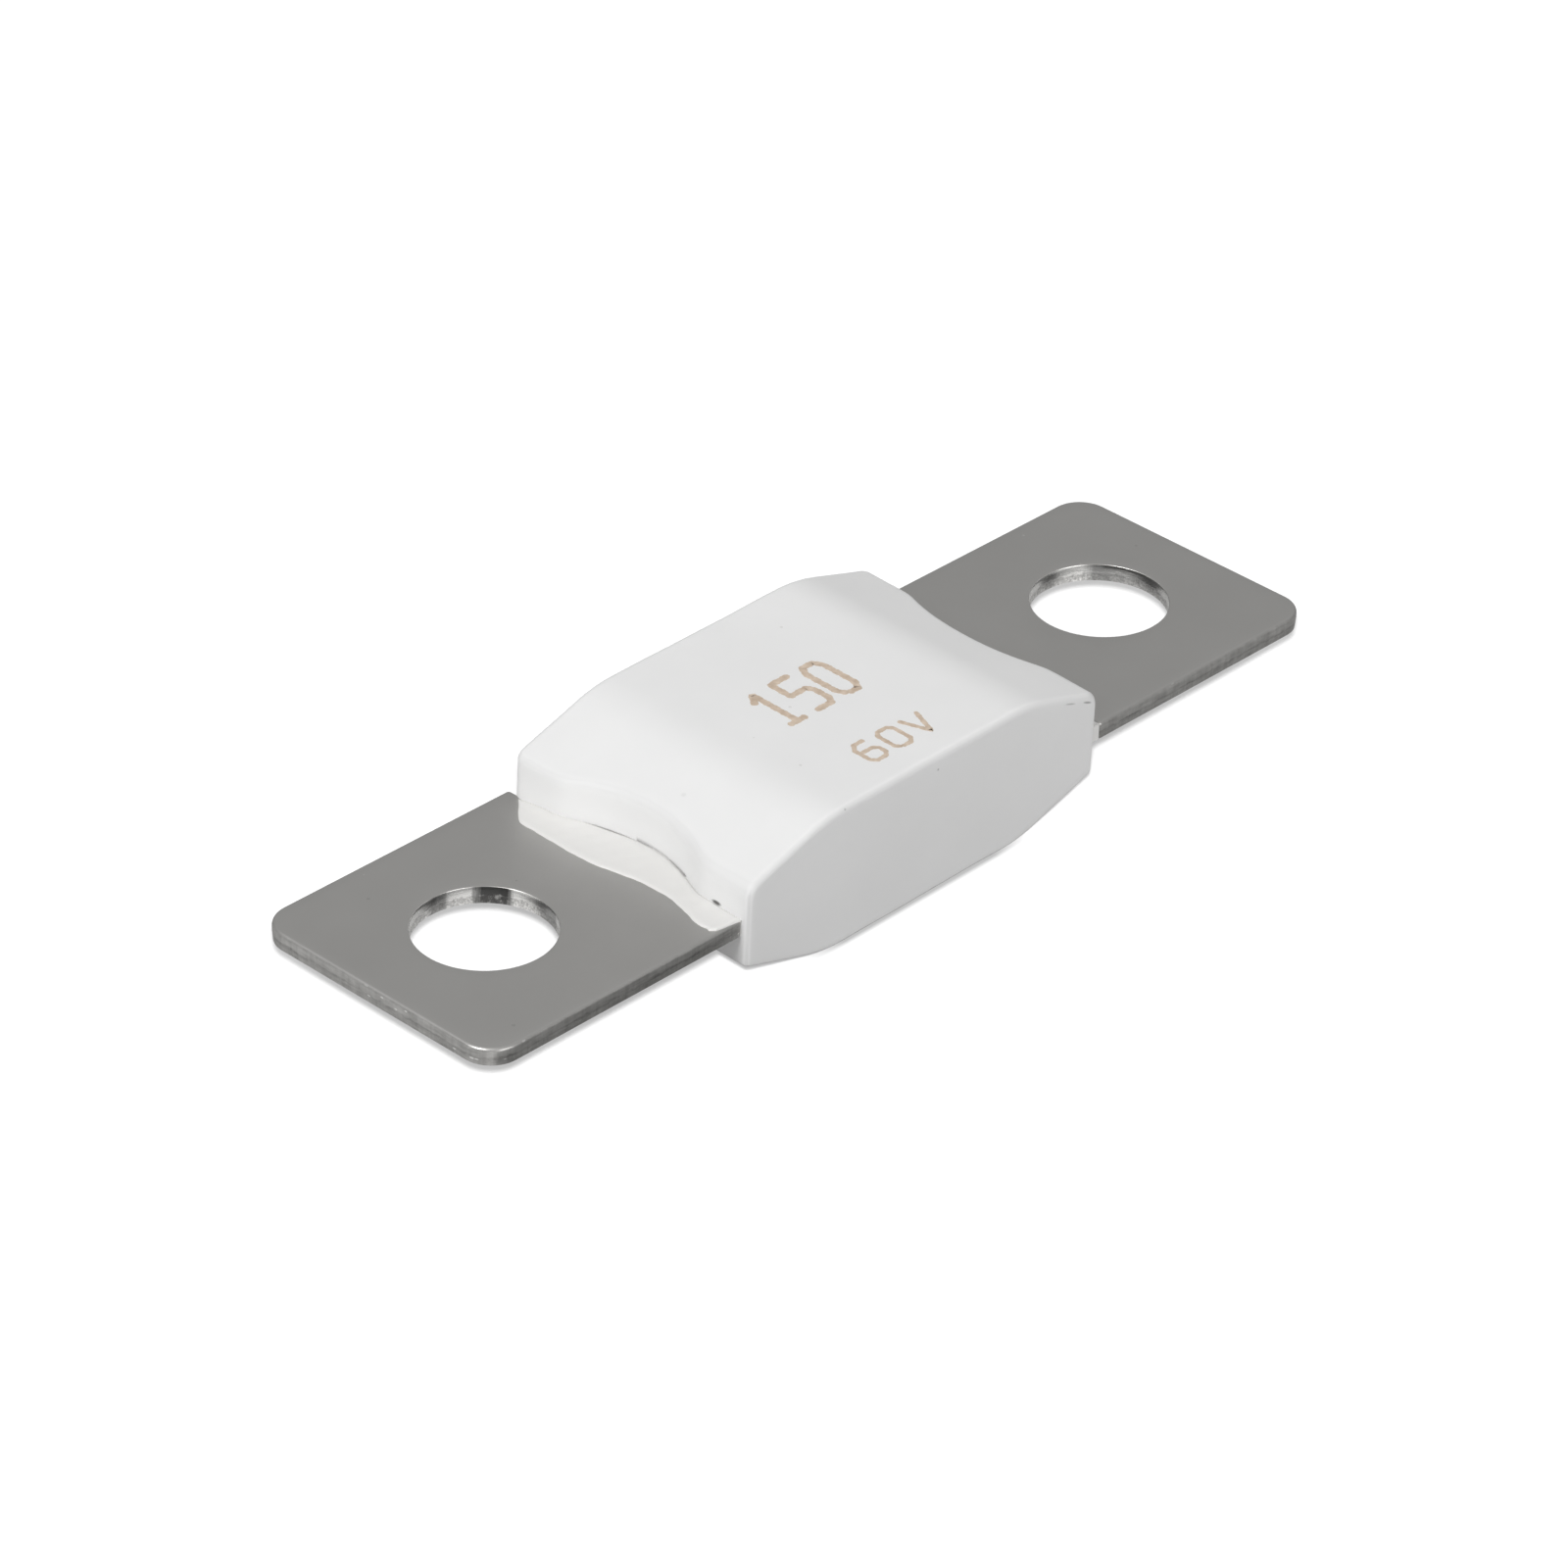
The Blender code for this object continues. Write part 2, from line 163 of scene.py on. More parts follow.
def rounded(corners, radii, steps, straight):
    """Outlines with rounded corners, many at once.

    An arc starts at radius / tan(half the opening) from its corner, and its points are the
    two end spokes weighted by the sines of the angles to the other end. The sides between
    arcs are divided evenly.
    """
    before = np.roll(corners, 1, axis=1) - corners
    after = np.roll(corners, -1, axis=1) - corners
    before = before / np.linalg.norm(before, axis=-1, keepdims=True)
    after = after / np.linalg.norm(after, axis=-1, keepdims=True)
    opening = np.arccos(np.clip((before * after).sum(-1), -1, 1))[..., None]
    radius = np.atleast_2d(np.asarray(radii, float))[..., None]
    run = radius / np.tan(opening / 2)
    start, end = corners + before * run, corners + after * run
    middle = before + after
    middle = middle / np.linalg.norm(middle, axis=-1, keepdims=True)
    centre = corners + middle * radius / np.sin(opening / 2)
    turn = (math.pi - opening)[:, :, None]
    share = np.linspace(0, 1, steps + 1).reshape(1, 1, -1, 1)
    spokes = (
        np.sin((1 - share) * turn) * (start - centre)[:, :, None]
        + np.sin(share * turn) * (end - centre)[:, :, None]
    ) / np.sin(turn)
    arcs = centre[:, :, None] + spokes
    across = np.linspace(0, 1, straight + 2)[1:-1].reshape(1, 1, -1, 1)
    sides = end[:, :, None] * (1 - across) + np.roll(start, -1, axis=1)[:, :, None] * across
    whole = np.concatenate([arcs, sides], axis=2)
    return whole.reshape(len(corners), -1, 2)


SCOOP_RADIUS = ((SCOOP_WIDTH / 2) ** 2 + SCOOP_DEPTH ** 2) / (2 * SCOOP_DEPTH)
SCOOP_EDGE = math.sqrt(
    (SCOOP_RADIUS + SCOOP_BLEND) ** 2 - (SCOOP_BLEND - SCOOP_DEPTH + SCOOP_RADIUS) ** 2
)


def scoop(y):
    """Depth of the end face's scoop: a round hollow that runs out through a round of its own."""
    y = np.abs(y)
    meet = SCOOP_EDGE * SCOOP_RADIUS / (SCOOP_RADIUS + SCOOP_BLEND)
    hollow = SCOOP_DEPTH - SCOOP_RADIUS + np.sqrt(SCOOP_RADIUS ** 2 - np.minimum(y, meet) ** 2)
    out = np.clip(SCOOP_EDGE - y, 0, SCOOP_BLEND)
    rim = SCOOP_BLEND - np.sqrt(SCOOP_BLEND ** 2 - out ** 2)
    return np.where(y <= meet, hollow, rim)


def edge_inset(distance, radius):
    """Inset of a quarter round at a distance from the face that it runs into."""
    near = np.clip(radius - distance, 0, radius)
    return radius - np.sqrt(radius ** 2 - near ** 2)


def end_depth(y, side):
    """How far a sleeve end lies in at y from its middle; its back upright is the rounder one."""
    back, front = UPRIGHT[side]
    return scoop(y) + edge_inset(SLEEVE_HALF - np.abs(y), np.where(y > 0, back, front))


def end_face(y, side):
    """Distance of the turned sleeve's end face from the strip's middle, at a y of the strip."""
    turn = math.sin(math.radians(SLEEVE_YAW))
    local = y - side * SLEEVE_LENGTH / 2 * turn - SLEEVE_CENTRE[1]
    face = SLEEVE_LENGTH / 2 - end_depth(np.clip(local, -SLEEVE_HALF, SLEEVE_HALF), side)
    return face - side * local * turn + side * SLEEVE_CENTRE[0]


def sleeve_loops():
    """Six-sided outlines across the sleeve, each at one y.

    The end faces stand end_depth in, the slopes rise evenly from them to the crown, and
    all faces draw in by a quarter round near the two sides. The first and last outlines lie
    in the side faces.
    """
    angle = np.linspace(0, math.pi / 2, 11)
    widest = max(UPRIGHT[-1] + UPRIGHT[1])
    side = SLEEVE_HALF - widest * (1 - np.cos(angle))
    inner = np.linspace(side[-1], 0, 34)[1:]
    half = np.concatenate([[SLEEVE_HALF, SLEEVE_HALF], side[1:], inner])
    extra = np.zeros(len(half))
    extra[0] = SIDE_CAP_INSET
    y = np.concatenate([-half, half[::-1][1:]])
    extra = np.concatenate([extra, extra[::-1][1:]])
    to_side = SLEEVE_HALF - np.abs(y)
    drop = edge_inset(to_side, LONG_EDGE) + extra
    lower = edge_inset(to_side, LOWER_LONG_EDGE) + extra
    slope = (SLEEVE_HEIGHT - END_HEIGHT) / (SLEEVE_LENGTH - CROWN_LENGTH)
    lean = math.hypot(1, slope)
    left, right = end_depth(y, -1) + extra, end_depth(y, 1) + extra
    left_x, right_x = SLEEVE_LENGTH / 2 - left, SLEEVE_LENGTH / 2 - right
    left_z, right_z, crown_x, crown_z = [
        [start + rise * inset for inset in (drop, lower)] for start, rise in (
            (END_HEIGHT / 2 + slope * left, -lean),
            (END_HEIGHT / 2 + slope * right, -lean),
            (CROWN_LENGTH / 2, -(lean - 1) / slope),
            (SLEEVE_HEIGHT / 2, -1.0),
        )
    ]
    corners = np.stack([np.stack(corner, -1) for corner in (
        (right_x, -right_z[1]), (right_x, right_z[0]), (crown_x[0], crown_z[0]), (-crown_x[0], crown_z[0]),
        (-left_x, left_z[0]), (-left_x, -left_z[1]), (-crown_x[1], -crown_z[1]), (crown_x[1], -crown_z[1]),
    )], 1)
    end_edge = END_EDGE[0] + (END_EDGE[1] - END_EDGE[0]) * (0.5 - y / (2 * SLEEVE_HALF))
    low_edge, fold = np.full(len(y), LOWER_END_EDGE), np.full(len(y), FOLD_RADIUS)
    radii = np.stack([low_edge, end_edge, fold, fold, end_edge, low_edge, fold, fold], 1)
    outline = rounded(corners, radii, 8, 16)
    level = np.broadcast_to(y[:, None], outline.shape[:2])
    return np.stack([outline[..., 0], level, outline[..., 1]], -1)


def box_loops(low, high):
    """Two square loops, the bottom and the top of a block."""
    x, y = np.array([low[0], high[0], high[0], low[0]]), np.array([low[1], low[1], high[1], high[1]])
    return np.stack([np.stack([x, y, np.full(4, z)], -1) for z in (low[2], high[2])])


def hollowed(name, mesh, blocks, sharp):
    """The mesh with blocks cut out of it, as a new object."""
    body = piece(name, mesh, sharp)
    tools = [shells("%s_hollow_%d" % (name, index), [loops], sharp) for index, loops in enumerate(blocks)]
    for tool in tools:
        step = body.modifiers.new(tool.name, "BOOLEAN")
        step.operation = "DIFFERENCE"
        step.solver = "EXACT"
        step.object = tool
    made = bpy.data.meshes.new_from_object(body.evaluated_get(bpy.context.evaluated_depsgraph_get()))
    body.modifiers.clear()
    for tool in tools:
        bpy.data.objects.remove(tool, do_unlink=True)
    body.data = made
    made.name = name
    return body


# Waves of the fired surface: height, the three parts of the direction, phase
UNEVENNESS = (
    (0.012, 0.55, 0.31, 0.2, 0.4), (0.010, -0.23, 0.72, 0.5, 1.9),
    (0.007, 1.31, -0.62, 0.9, 2.7), (0.004, 0.9, 1.2, 1.1, 5.2),
)


def uneven(points):
    """Points moved out from the sleeve's middle by a few hundredths, as the fired surface wanders."""
    total = np.zeros(points.shape[:-1])
    for height, *direction, phase in UNEVENNESS:
        total += height * np.sin(points @ np.array(direction) + phase)
    away = points / np.linalg.norm(points, axis=-1, keepdims=True)
    return points + away * total[..., None]


def make_sleeve():
    """Ceramic sleeve: lofted across its width, made slightly uneven, then hollowed from both ends."""
    loops = uneven(sleeve_loops())
    rows, count = loops.shape[:2]
    mesh = make_mesh("ceramic_sleeve", seat(loops), loop_faces(rows, count))
    length, width, height = CHAMBER
    half_mouth, room = MOUTH
    chamber = seat(box_loops((-length / 2, -width / 2, -height / 2), (length / 2, width / 2, height / 2)))
    mouth = box_loops((-20, -half_mouth, -STRIP_THICKNESS - room), (20, half_mouth, room))
    return hollowed("ceramic_sleeve", mesh, [chamber, mouth], 35)


def terminal_outline(side):
    """Plan of a terminal: bolt tab, shoulders and neck, drawn for the +X end and turned for the other."""
    shoulder = SHOULDER[side]
    corners = np.array([[
        (NECK_END, -NECK_HALF), (shoulder, -NECK_HALF), (shoulder, -TAB_HALF), (TAB_END, -TAB_HALF),
        (TAB_END, TAB_HALF), (shoulder, TAB_HALF), (shoulder, NECK_HALF), (NECK_END, NECK_HALF),
    ]])
    front = [NECK_CORNER, NECK_ROOT, SHOULDER_CORNER, TAB_CORNER]
    return rounded(corners, front + front[::-1], 14, 22)[0]


def outward(outline):
    """Unit normals of a closed anticlockwise outline: the mean direction of its two sides, turned right."""
    ahead = np.roll(outline, -1, axis=0) - outline
    ahead = ahead / np.linalg.norm(ahead, axis=1, keepdims=True)
    along = ahead + np.roll(ahead, 1, axis=0)
    along = along / np.linalg.norm(along, axis=1, keepdims=True)
    return np.stack([along[:, 1], -along[:, 0]], -1)


def edge_profile():
    """Cut edge of the strip from the underside to the top, as (inset, height).

    The break leaves a slight taper below, the shear a straight land above it, and the die
    draws the upper edge over in a quarter ellipse.
    """
    bottom = -STRIP_THICKNESS
    lower = [
        (BREAK_TAPER + LOWER_CHAMFER, bottom), (BREAK_TAPER, bottom + LOWER_CHAMFER), BREAK_TOP, LAND_FOOT,
    ]
    angle = np.linspace(0, math.pi / 2, 8)
    roll = np.stack([DIE_ROLL * (1 - np.cos(angle)), DIE_ROLL_DEPTH * (np.sin(angle) - 1)], -1)
    return np.concatenate([lower, roll])


def make_terminal(name, side):
    """Stamped terminal: one closed skin carried round its outline and its bolt hole.

    Each point of the outline is paired with the hole's point at the same angle. The skin
    climbs the cut edge, crosses the top to the hole, goes down its wall and back below.
    """
    outline = terminal_outline(side)
    normal = outward(outline)
    spoke = outline - np.array([HOLE_X, 0.0])
    spoke = spoke / np.linalg.norm(spoke, axis=1, keepdims=True)
    hole = spoke * HOLE_RADIUS + np.array([HOLE_X, 0.0])
    edge = edge_profile()
    rings = [np.column_stack([outline - normal * inset, np.full(len(outline), z)]) for inset, z in edge]
    top_out, top_in = rings[-1], np.column_stack([hole + spoke * DIE_ROLL * HOLE_ROLL, np.zeros(len(hole))])
    shares = np.linspace(0, 1, 8)[1:-1]
    flat = [top_out * (1 - share) + top_in * share for share in shares]
    wall = []
    for inset, z in edge[::-1]:
        height = z * (HOLE_ROLL if z > -DIE_ROLL_DEPTH else 1)
        wall.append(np.column_stack([hole + spoke * inset * HOLE_ROLL, np.full(len(hole), height)]))
    low_in, low_out = wall[-1], rings[0]
    under = [low_in * (1 - share) + low_out * share for share in shares]
    loops = np.stack(rings + flat + wall + under)
    loops[..., :2] *= side
    rows, count = loops.shape[:2]
    return piece(name, make_mesh(name, loops, loop_faces(rows, count, ring=True)), 40)


# Compound on the left tab: distance out from the sleeve's middle at each y, seen from above
LEFT_TOP_Y = (
    -9.30, -9.25, -9.02, -8.60, -8.01, -6.79, -5.24, -3.80,
    -2.25, -0.90, 0.33, 1.96, 3.90, 5.40, 6.26, 8.30,
)
LEFT_TOP_OUT = (
    14.90, 15.75, 16.57, 16.70, 16.72, 16.41, 16.02, 15.96,
    16.08, 16.36, 16.61, 16.71, 16.67, 16.64, 16.60, 14.84,
)
LEFT_RISE_Y = (-9.4, -8.1, -6.6, -5.1, -3.2, -1.1, 0.9, 2.9, 4.7, 6.3, 7.4, 8.3)
LEFT_RISE = (0.12, 0.17, 0.28, 0.18, 0.30, 0.38, 0.29, 0.30, 0.42, 0.37, 0.26, 0.16)
# Compound where the photograph doesn't show it
RIGHT_TOP_Y = (-8.90, -8.40, -7.40, -6.10, -3.00, 0.20, 3.10, 5.60, 7.90, 8.90)
RIGHT_TOP_OUT = (14.90, 15.10, 15.60, 16.00, 16.32, 16.05, 16.28, 16.36, 16.00, 15.10)
RIGHT_RISE_Y = (-9.3, -4.0, 1.0, 5.0, 9.0)
RIGHT_RISE = (0.20, 0.30, 0.24, 0.36, 0.18)
UNDER_Y = (-9.20, -8.90, -7.10, -4.00, -1.20, 2.10, 5.30, 7.90, 8.90)
UNDER_OUT = (15.20, 15.90, 16.35, 16.05, 16.40, 16.20, 16.45, 15.95, 15.00)
# Compound lying on a tab, the crease that it has along the sleeve, and its root inside the end face
POOL_EDGE = 0.13
POOL_ROUND = 0.26
POOL_SUNK = 0.10
POOL_UNDERCUT = 0.05
POOL_LEAST = 0.12
POOL_TAPER = 0.30
POOL_ROWS = 150
CREASE_DEPTH = 0.16
CREASE_WIDTH = 0.13
SEAL_ROOT = 0.30
# Compound beside the neck: its rows along the strip's width, and how it sinks into the metal
PLUG_FRONT = (-9.30, -9.27, -9.2)
PLUG_BACK = {-1: 8.1, 1: 9.1}
PLUG_ROWS = 60
PLUG_SUNK = 0.06
PLUG_LIFT = 0.02


def smooth_run(y, places, values):
    """Values between the given places along a curve whose slope is the mean of its neighbours' slopes."""
    places, values = np.asarray(places, float), np.asarray(values, float)
    slopes = np.gradient(values, places)
    index = np.clip(np.searchsorted(places, y) - 1, 0, len(places) - 2)
    span = places[index + 1] - places[index]
    t = np.clip((y - places[index]) / span, 0, 1)
    one, two = values[index], values[index + 1]
    tangent_one, tangent_two = slopes[index] * span, slopes[index + 1] * span
    return (
        (2 * t ** 3 - 3 * t ** 2 + 1) * one + (t ** 3 - 2 * t ** 2 + t) * tangent_one
        + (3 * t ** 2 - 2 * t ** 3) * two + (t ** 3 - t ** 2) * tangent_two
    )


def rolled_top(y):
    """Height of the strip's top near its long edges, where the die has drawn it over."""
    over = np.clip((np.abs(y) - (TAB_HALF - DIE_ROLL)) / DIE_ROLL, 0, 1)
    return DIE_ROLL_DEPTH * (np.sqrt(1 - over ** 2) - 1)


def pool(side, up, outline_y, outline_out, rise_y, rise):
    """Loops of the compound that lies on one face of a tab.

    Along each loop the compound starts in the sleeve's end face, dips in a narrow crease,
    falls from its rise to an even thickness and rounds off at its outer edge. The underside
    of the loop is sunk into the metal.
    """
    low, high = outline_y[0], outline_y[-1]
    to_ends = (1 - np.cos(np.linspace(0, math.pi, POOL_ROWS))) / 2
    y = low + (high - low) * (0.35 * to_ends + 0.65 * np.linspace(0, 1, POOL_ROWS))
    spread = smooth_run(y, outline_y, outline_out)
    spread = spread + 0.014 * np.sin(3.1 * y + 0.6) + 0.008 * np.sin(7.7 * y + 2.0)
    height = smooth_run(y, rise_y, rise)
    face = end_face(y, side)
    run = np.maximum(spread - face, POOL_LEAST)
    taper = np.clip(np.minimum(y - low, high - y) / POOL_TAPER, 0, 1)
    taper = np.sqrt(np.clip(1 - (1 - taper) ** 2, 0.02, 1))
    out = [np.full_like(y, -SEAL_ROOT), np.zeros_like(y)]
    lift = [height, height]
    for share in np.linspace(0, 1, 26)[1:]:
        out.append(np.maximum(run - POOL_ROUND, 0.3 * run) * share)
        lift.append(POOL_EDGE + (height - POOL_EDGE) * (1 - share) ** 1.6)
    flat_end = out[-1]
    for share in np.sin(np.linspace(0, math.pi / 2, 9))[1:]:
        out.append(flat_end + (run - flat_end) * share)
        lift.append(np.full_like(y, POOL_EDGE * math.sqrt(max(0.0, 1 - share ** 2))))
    out, lift = np.stack(out, 1), np.stack(lift, 1)
    crease = CREASE_DEPTH * np.exp(-(np.maximum(out, 0) / CREASE_WIDTH) ** 2)
    row = y[:, None]
    ripple = 0.012 * np.sin(2.3 * row + 1.7 * out) + 0.008 * np.sin(5.1 * row - 2.9 * out + 1.0)
    lift = np.maximum((lift - crease) * taper[:, None] + ripple * lift / 0.3, -0.02)
    base = rolled_top(y)[:, None] if up > 0 else np.zeros((len(y), 1))
    across = face[:, None] + out
    upper = np.stack([side * across, np.broadcast_to(y[:, None], across.shape), lift + base], -1)
    lower = upper[:, ::-1][:, [0, -1]].copy()
    lower[..., 2] = base - POOL_SUNK
    lower[:, 0, 0] -= side * POOL_UNDERCUT
    loops = np.concatenate([upper, lower], axis=1)
    if up < 0:
        loops[..., 2] = -STRIP_THICKNESS - loops[..., 2]
    return loops


def plug(side):
    """Loops of the compound between the sleeve's end face and the tab's shoulders."""
    y = np.concatenate([PLUG_FRONT[:2], np.linspace(PLUG_FRONT[2], PLUG_BACK[side], PLUG_ROWS)])
    inner, outer = end_face(y, side) - SEAL_ROOT, np.full_like(y, SHOULDER[side] + PLUG_SUNK)
    low, high = -STRIP_THICKNESS + PLUG_LIFT, -PLUG_SUNK
    corners = [(inner, low), (outer, low), (outer, high), (inner, high)]
    return np.stack([np.stack([side * x, y, np.full_like(y, z)], -1) for x, z in corners], 1)


def make_seal(name, side):
    """Sealing compound of one end: pools on both faces of the tab and the plug beside the neck."""
    if side < 0:
        above = pool(side, 1, LEFT_TOP_Y, LEFT_TOP_OUT, LEFT_RISE_Y, LEFT_RISE)
    else:
        above = pool(side, 1, RIGHT_TOP_Y, RIGHT_TOP_OUT, RIGHT_RISE_Y, RIGHT_RISE)
    below = pool(side, -1, UNDER_Y, UNDER_OUT, RIGHT_RISE_Y, RIGHT_RISE)
    return shells(name, [above, below, plug(side)], 50)


# Printed figures: strokes of each in a cell one wide and one high, and how far they stand off the top
# flat, in three steps so that strokes that cross don't share a plane
PRINT_LIFT = 0.014
PRINT_STEP = 0.001
PRINT_SUNK = 0.03
FIGURES = {
    "1": [[(0.16, 0.76), (0.52, 1.0), (0.52, 0.0)], [(0.12, 0.0), (0.92, 0.0)]],
    "5": [[
        (0.92, 1.0), (0.10, 1.0), (0.10, 0.56), (0.78, 0.56),
        (0.92, 0.44), (0.92, 0.12), (0.78, 0.0), (0.08, 0.0),
    ]],
    "0": [[
        (0.30, 0.0), (0.74, 0.0), (0.92, 0.16), (0.92, 0.84), (0.74, 1.0),
        (0.28, 1.0), (0.10, 0.84), (0.10, 0.16), (0.30, 0.0),
    ]],
    "6": [[
        (0.86, 1.0), (0.34, 1.0), (0.10, 0.78), (0.10, 0.16), (0.28, 0.0),
        (0.74, 0.0), (0.92, 0.16), (0.92, 0.42), (0.74, 0.56), (0.10, 0.56),
    ]],
    "V": [[(0.04, 1.0), (0.50, 0.0), (0.96, 1.0)]],
}


def on_crown(flat, lift):
    """Points of the sleeve's uneven top flat, lifted off it by a little."""
    points = uneven(np.column_stack([flat, np.full(len(flat), SLEEVE_HEIGHT / 2)]))
    points[:, 2] += lift
    return seat(points)


def stroke(path, width, seed, lift):
    """Ribbon along a path: its half width wanders with two sines and closes in a half round at the ends."""
    path = np.asarray(path, float)
    length = np.concatenate([[0], np.cumsum(np.linalg.norm(np.diff(path, axis=0), axis=1))])
    count = max(12, int(length[-1] / 0.05))
    at = np.linspace(0, length[-1], count)
    line = np.stack([np.interp(at, length, path[:, k]) for k in (0, 1)], -1)
    ahead = np.gradient(line, axis=0)
    ahead = ahead / np.linalg.norm(ahead, axis=1, keepdims=True)
    left = np.stack([-ahead[:, 1], ahead[:, 0]], -1)
    to_end = np.minimum(at, length[-1] - at) + 0.02
    half = width / 2 * (1 + 0.10 * np.sin(9.1 * at + seed) + 0.07 * np.sin(23.0 * at + 2.1 * seed))
    half = half * np.sqrt(np.clip(1 - (1 - np.clip(to_end / (width / 2), 0, 1)) ** 2, 0.01, 1))
    one, two = line + left * half[:, None], line - left * half[:, None]
    corners = ((one, -PRINT_SUNK), (two, -PRINT_SUNK), (two, lift), (one, lift))
    return np.stack([on_crown(edge, over) for edge, over in corners], 1)


def make_figures(name, text, corner, size, gap, width):
    """A row of figures printed on the top flat, from its lower left corner."""
    parts = []
    for index, sign in enumerate(text):
        for path in FIGURES[sign]:
            cell = np.array(path) * np.array(size)
            cell[:, 0] += corner[0] + index * (size[0] + gap)
            cell[:, 1] += corner[1]
            lift = PRINT_LIFT + PRINT_STEP * (len(parts) % 3)
            parts.append(stroke(cell, width, 1.7 * len(parts) + index, lift))
    return shells(name, parts, 30)


# Finishes
def node(tree, kind, **values):
    """A node with some of its sockets or settings given by name."""
    made = tree.nodes.new(kind)
    for key, value in values.items():
        if key in made.inputs:
            made.inputs[key].default_value = value
        else:
            setattr(made, key, value)
    return made


def new_group(name, output, inputs):
    """An empty shader node group with one float output; returns it with its input sockets and its end."""
    group = bpy.data.node_groups.new(name, "ShaderNodeTree")
    group.interface.new_socket(name="Vector", in_out="INPUT", socket_type="NodeSocketVector")
    for label, value in inputs.items():
        socket = group.interface.new_socket(name=label, in_out="INPUT", socket_type="NodeSocketFloat")
        socket.default_value = value
    group.interface.new_socket(name=output, in_out="OUTPUT", socket_type="NodeSocketFloat")
    start, end = group.nodes.new("NodeGroupInput"), group.nodes.new("NodeGroupOutput")
    return group, start.outputs, end.inputs[output]


def make_grain():
    """Fine grain over a slow unevenness: a height for bump."""
    sizes = {"Grain Size": 4000.0, "Slow Size": 300.0, "Slow Share": 0.5}
    group, given, height = new_group("fine_grain", "Height", sizes)
    link = group.links.new
    mix = node(group, "ShaderNodeMix", data_type="FLOAT")
    link(given["Slow Share"], mix.inputs["Factor"])
    for size, detail, roughness, socket in (("Grain Size", 3.0, 0.6, 2), ("Slow Size", 2.0, 0.5, 3)):
        noise = node(group, "ShaderNodeTexNoise", Detail=detail, Roughness=roughness)
        link(given["Vector"], noise.inputs["Vector"])
        link(given[size], noise.inputs["Scale"])
        link(noise.outputs["Fac"], mix.inputs[socket])
    link(mix.outputs[0], height)
    return group


def make_specks():
    """Scattered specks: a mask where a cell's centre is near, kept in only some of the cells."""
    sizes = {"Spacing": 900.0, "Size": 0.12, "Share": 0.2}
    group, given, mask = new_group("specks", "Mask", sizes)
    link = group.links.new
    cells = node(group, "ShaderNodeTexVoronoi", feature="F1")
    link(given["Vector"], cells.inputs["Vector"])
    link(given["Spacing"], cells.inputs["Scale"])
    pick = node(group, "ShaderNodeSeparateColor")
    link(cells.outputs["Color"], pick.inputs[0])
    near = maths(group, "LESS_THAN", cells.outputs["Distance"], given["Size"])
    kept = maths(group, "LESS_THAN", pick.outputs[0], given["Share"])
    link(product(group, near, kept), mask)
    return group


def new_finish(name, roughness, metallic=0.0, specular=0.5):
    """A Principled material with plain values on its own sockets; returns what its painting needs."""
    mat = bpy.data.materials.new(name)
    mat.use_nodes = True
    tree = mat.node_tree
    shader = tree.nodes["Principled BSDF"]
    shader.inputs["Roughness"].default_value = roughness
    shader.inputs["Metallic"].default_value = metallic
    shader.inputs["Specular IOR Level"].default_value = specular
    place = tree.nodes.new("ShaderNodeTexCoord").outputs["Object"]
    return mat, tree, shader, place


def use(tree, group, place, **values):
    """Result of a shared effect placed in a material with its own values."""
    made = tree.nodes.new("ShaderNodeGroup")
    made.node_tree = group
    tree.links.new(place, made.inputs["Vector"])
    for key, value in values.items():
        made.inputs[key.replace("_", " ")].default_value = value
    return made.outputs[0]


def ranged(tree, value, low, high, to_low=0.0, to_high=1.0):
    """Value carried from one span to another, held at its ends."""
    made = node(tree, "ShaderNodeMapRange")
    for label, number in (("From Min", low), ("From Max", high), ("To Min", to_low), ("To Max", to_high)):
        made.inputs[label].default_value = number
    tree.links.new(value, made.inputs["Value"])
    return made.outputs["Result"]


def maths(tree, operation, *values):
    """One step of arithmetic on sockets or plain numbers."""
    made = node(tree, "ShaderNodeMath", operation=operation)
    for socket, value in zip(made.inputs, values):
        if isinstance(value, (int, float)):
            socket.default_value = value
        else:
            tree.links.new(value, socket)
    return made.outputs[0]


def product(tree, one, two):
    """Product of two sockets or plain numbers."""
    return maths(tree, "MULTIPLY", one, two)


def stretched(tree, place, scale, shift=(0, 0, 0)):
    """Place scaled along the three axes and then shifted."""
    made = node(tree, "ShaderNodeMapping", vector_type="POINT")
    made.inputs["Location"].default_value = shift
    made.inputs["Scale"].default_value = scale
    tree.links.new(place, made.inputs["Vector"])
    return made.outputs["Vector"]


def noise_value(tree, place, scale, detail, roughness):
    """Noise between zero and one."""
    made = node(tree, "ShaderNodeTexNoise", Scale=scale, Detail=detail, Roughness=roughness)
    tree.links.new(place, made.inputs["Vector"])
    return made.outputs["Fac"]


def axes(tree, vector):
    """The X, Y and Z of a vector, as sockets."""
    split = node(tree, "ShaderNodeSeparateXYZ")
    tree.links.new(vector, split.inputs[0])
    return split.outputs


def reach_of(tree, vector):
    """Length of a vector."""
    made = node(tree, "ShaderNodeVectorMath", operation="LENGTH")
    tree.links.new(vector, made.inputs[0])
    return made.outputs["Value"]


def soft_edge(tree, value, marks, to_low=0.0, to_high=1.0):
    """Value in metres carried from one mark to the other, which are in millimetres."""
    return ranged(tree, value, marks[0] * MM, marks[1] * MM, to_low, to_high)


def streaks(tree, place, stretch, scale, detail, low, high):
    """Streaks between zero and one, drawn out along the axes whose stretch is small."""
    return ranged(tree, noise_value(tree, stretched(tree, place, stretch), scale, detail, 0.7), low, high)


def drift(tree, place, scale, low, high):
    """Value that drifts slowly between two others."""
    return ranged(tree, noise_value(tree, place, scale, 4.0, 0.5), 0.0, 1.0, low, high)


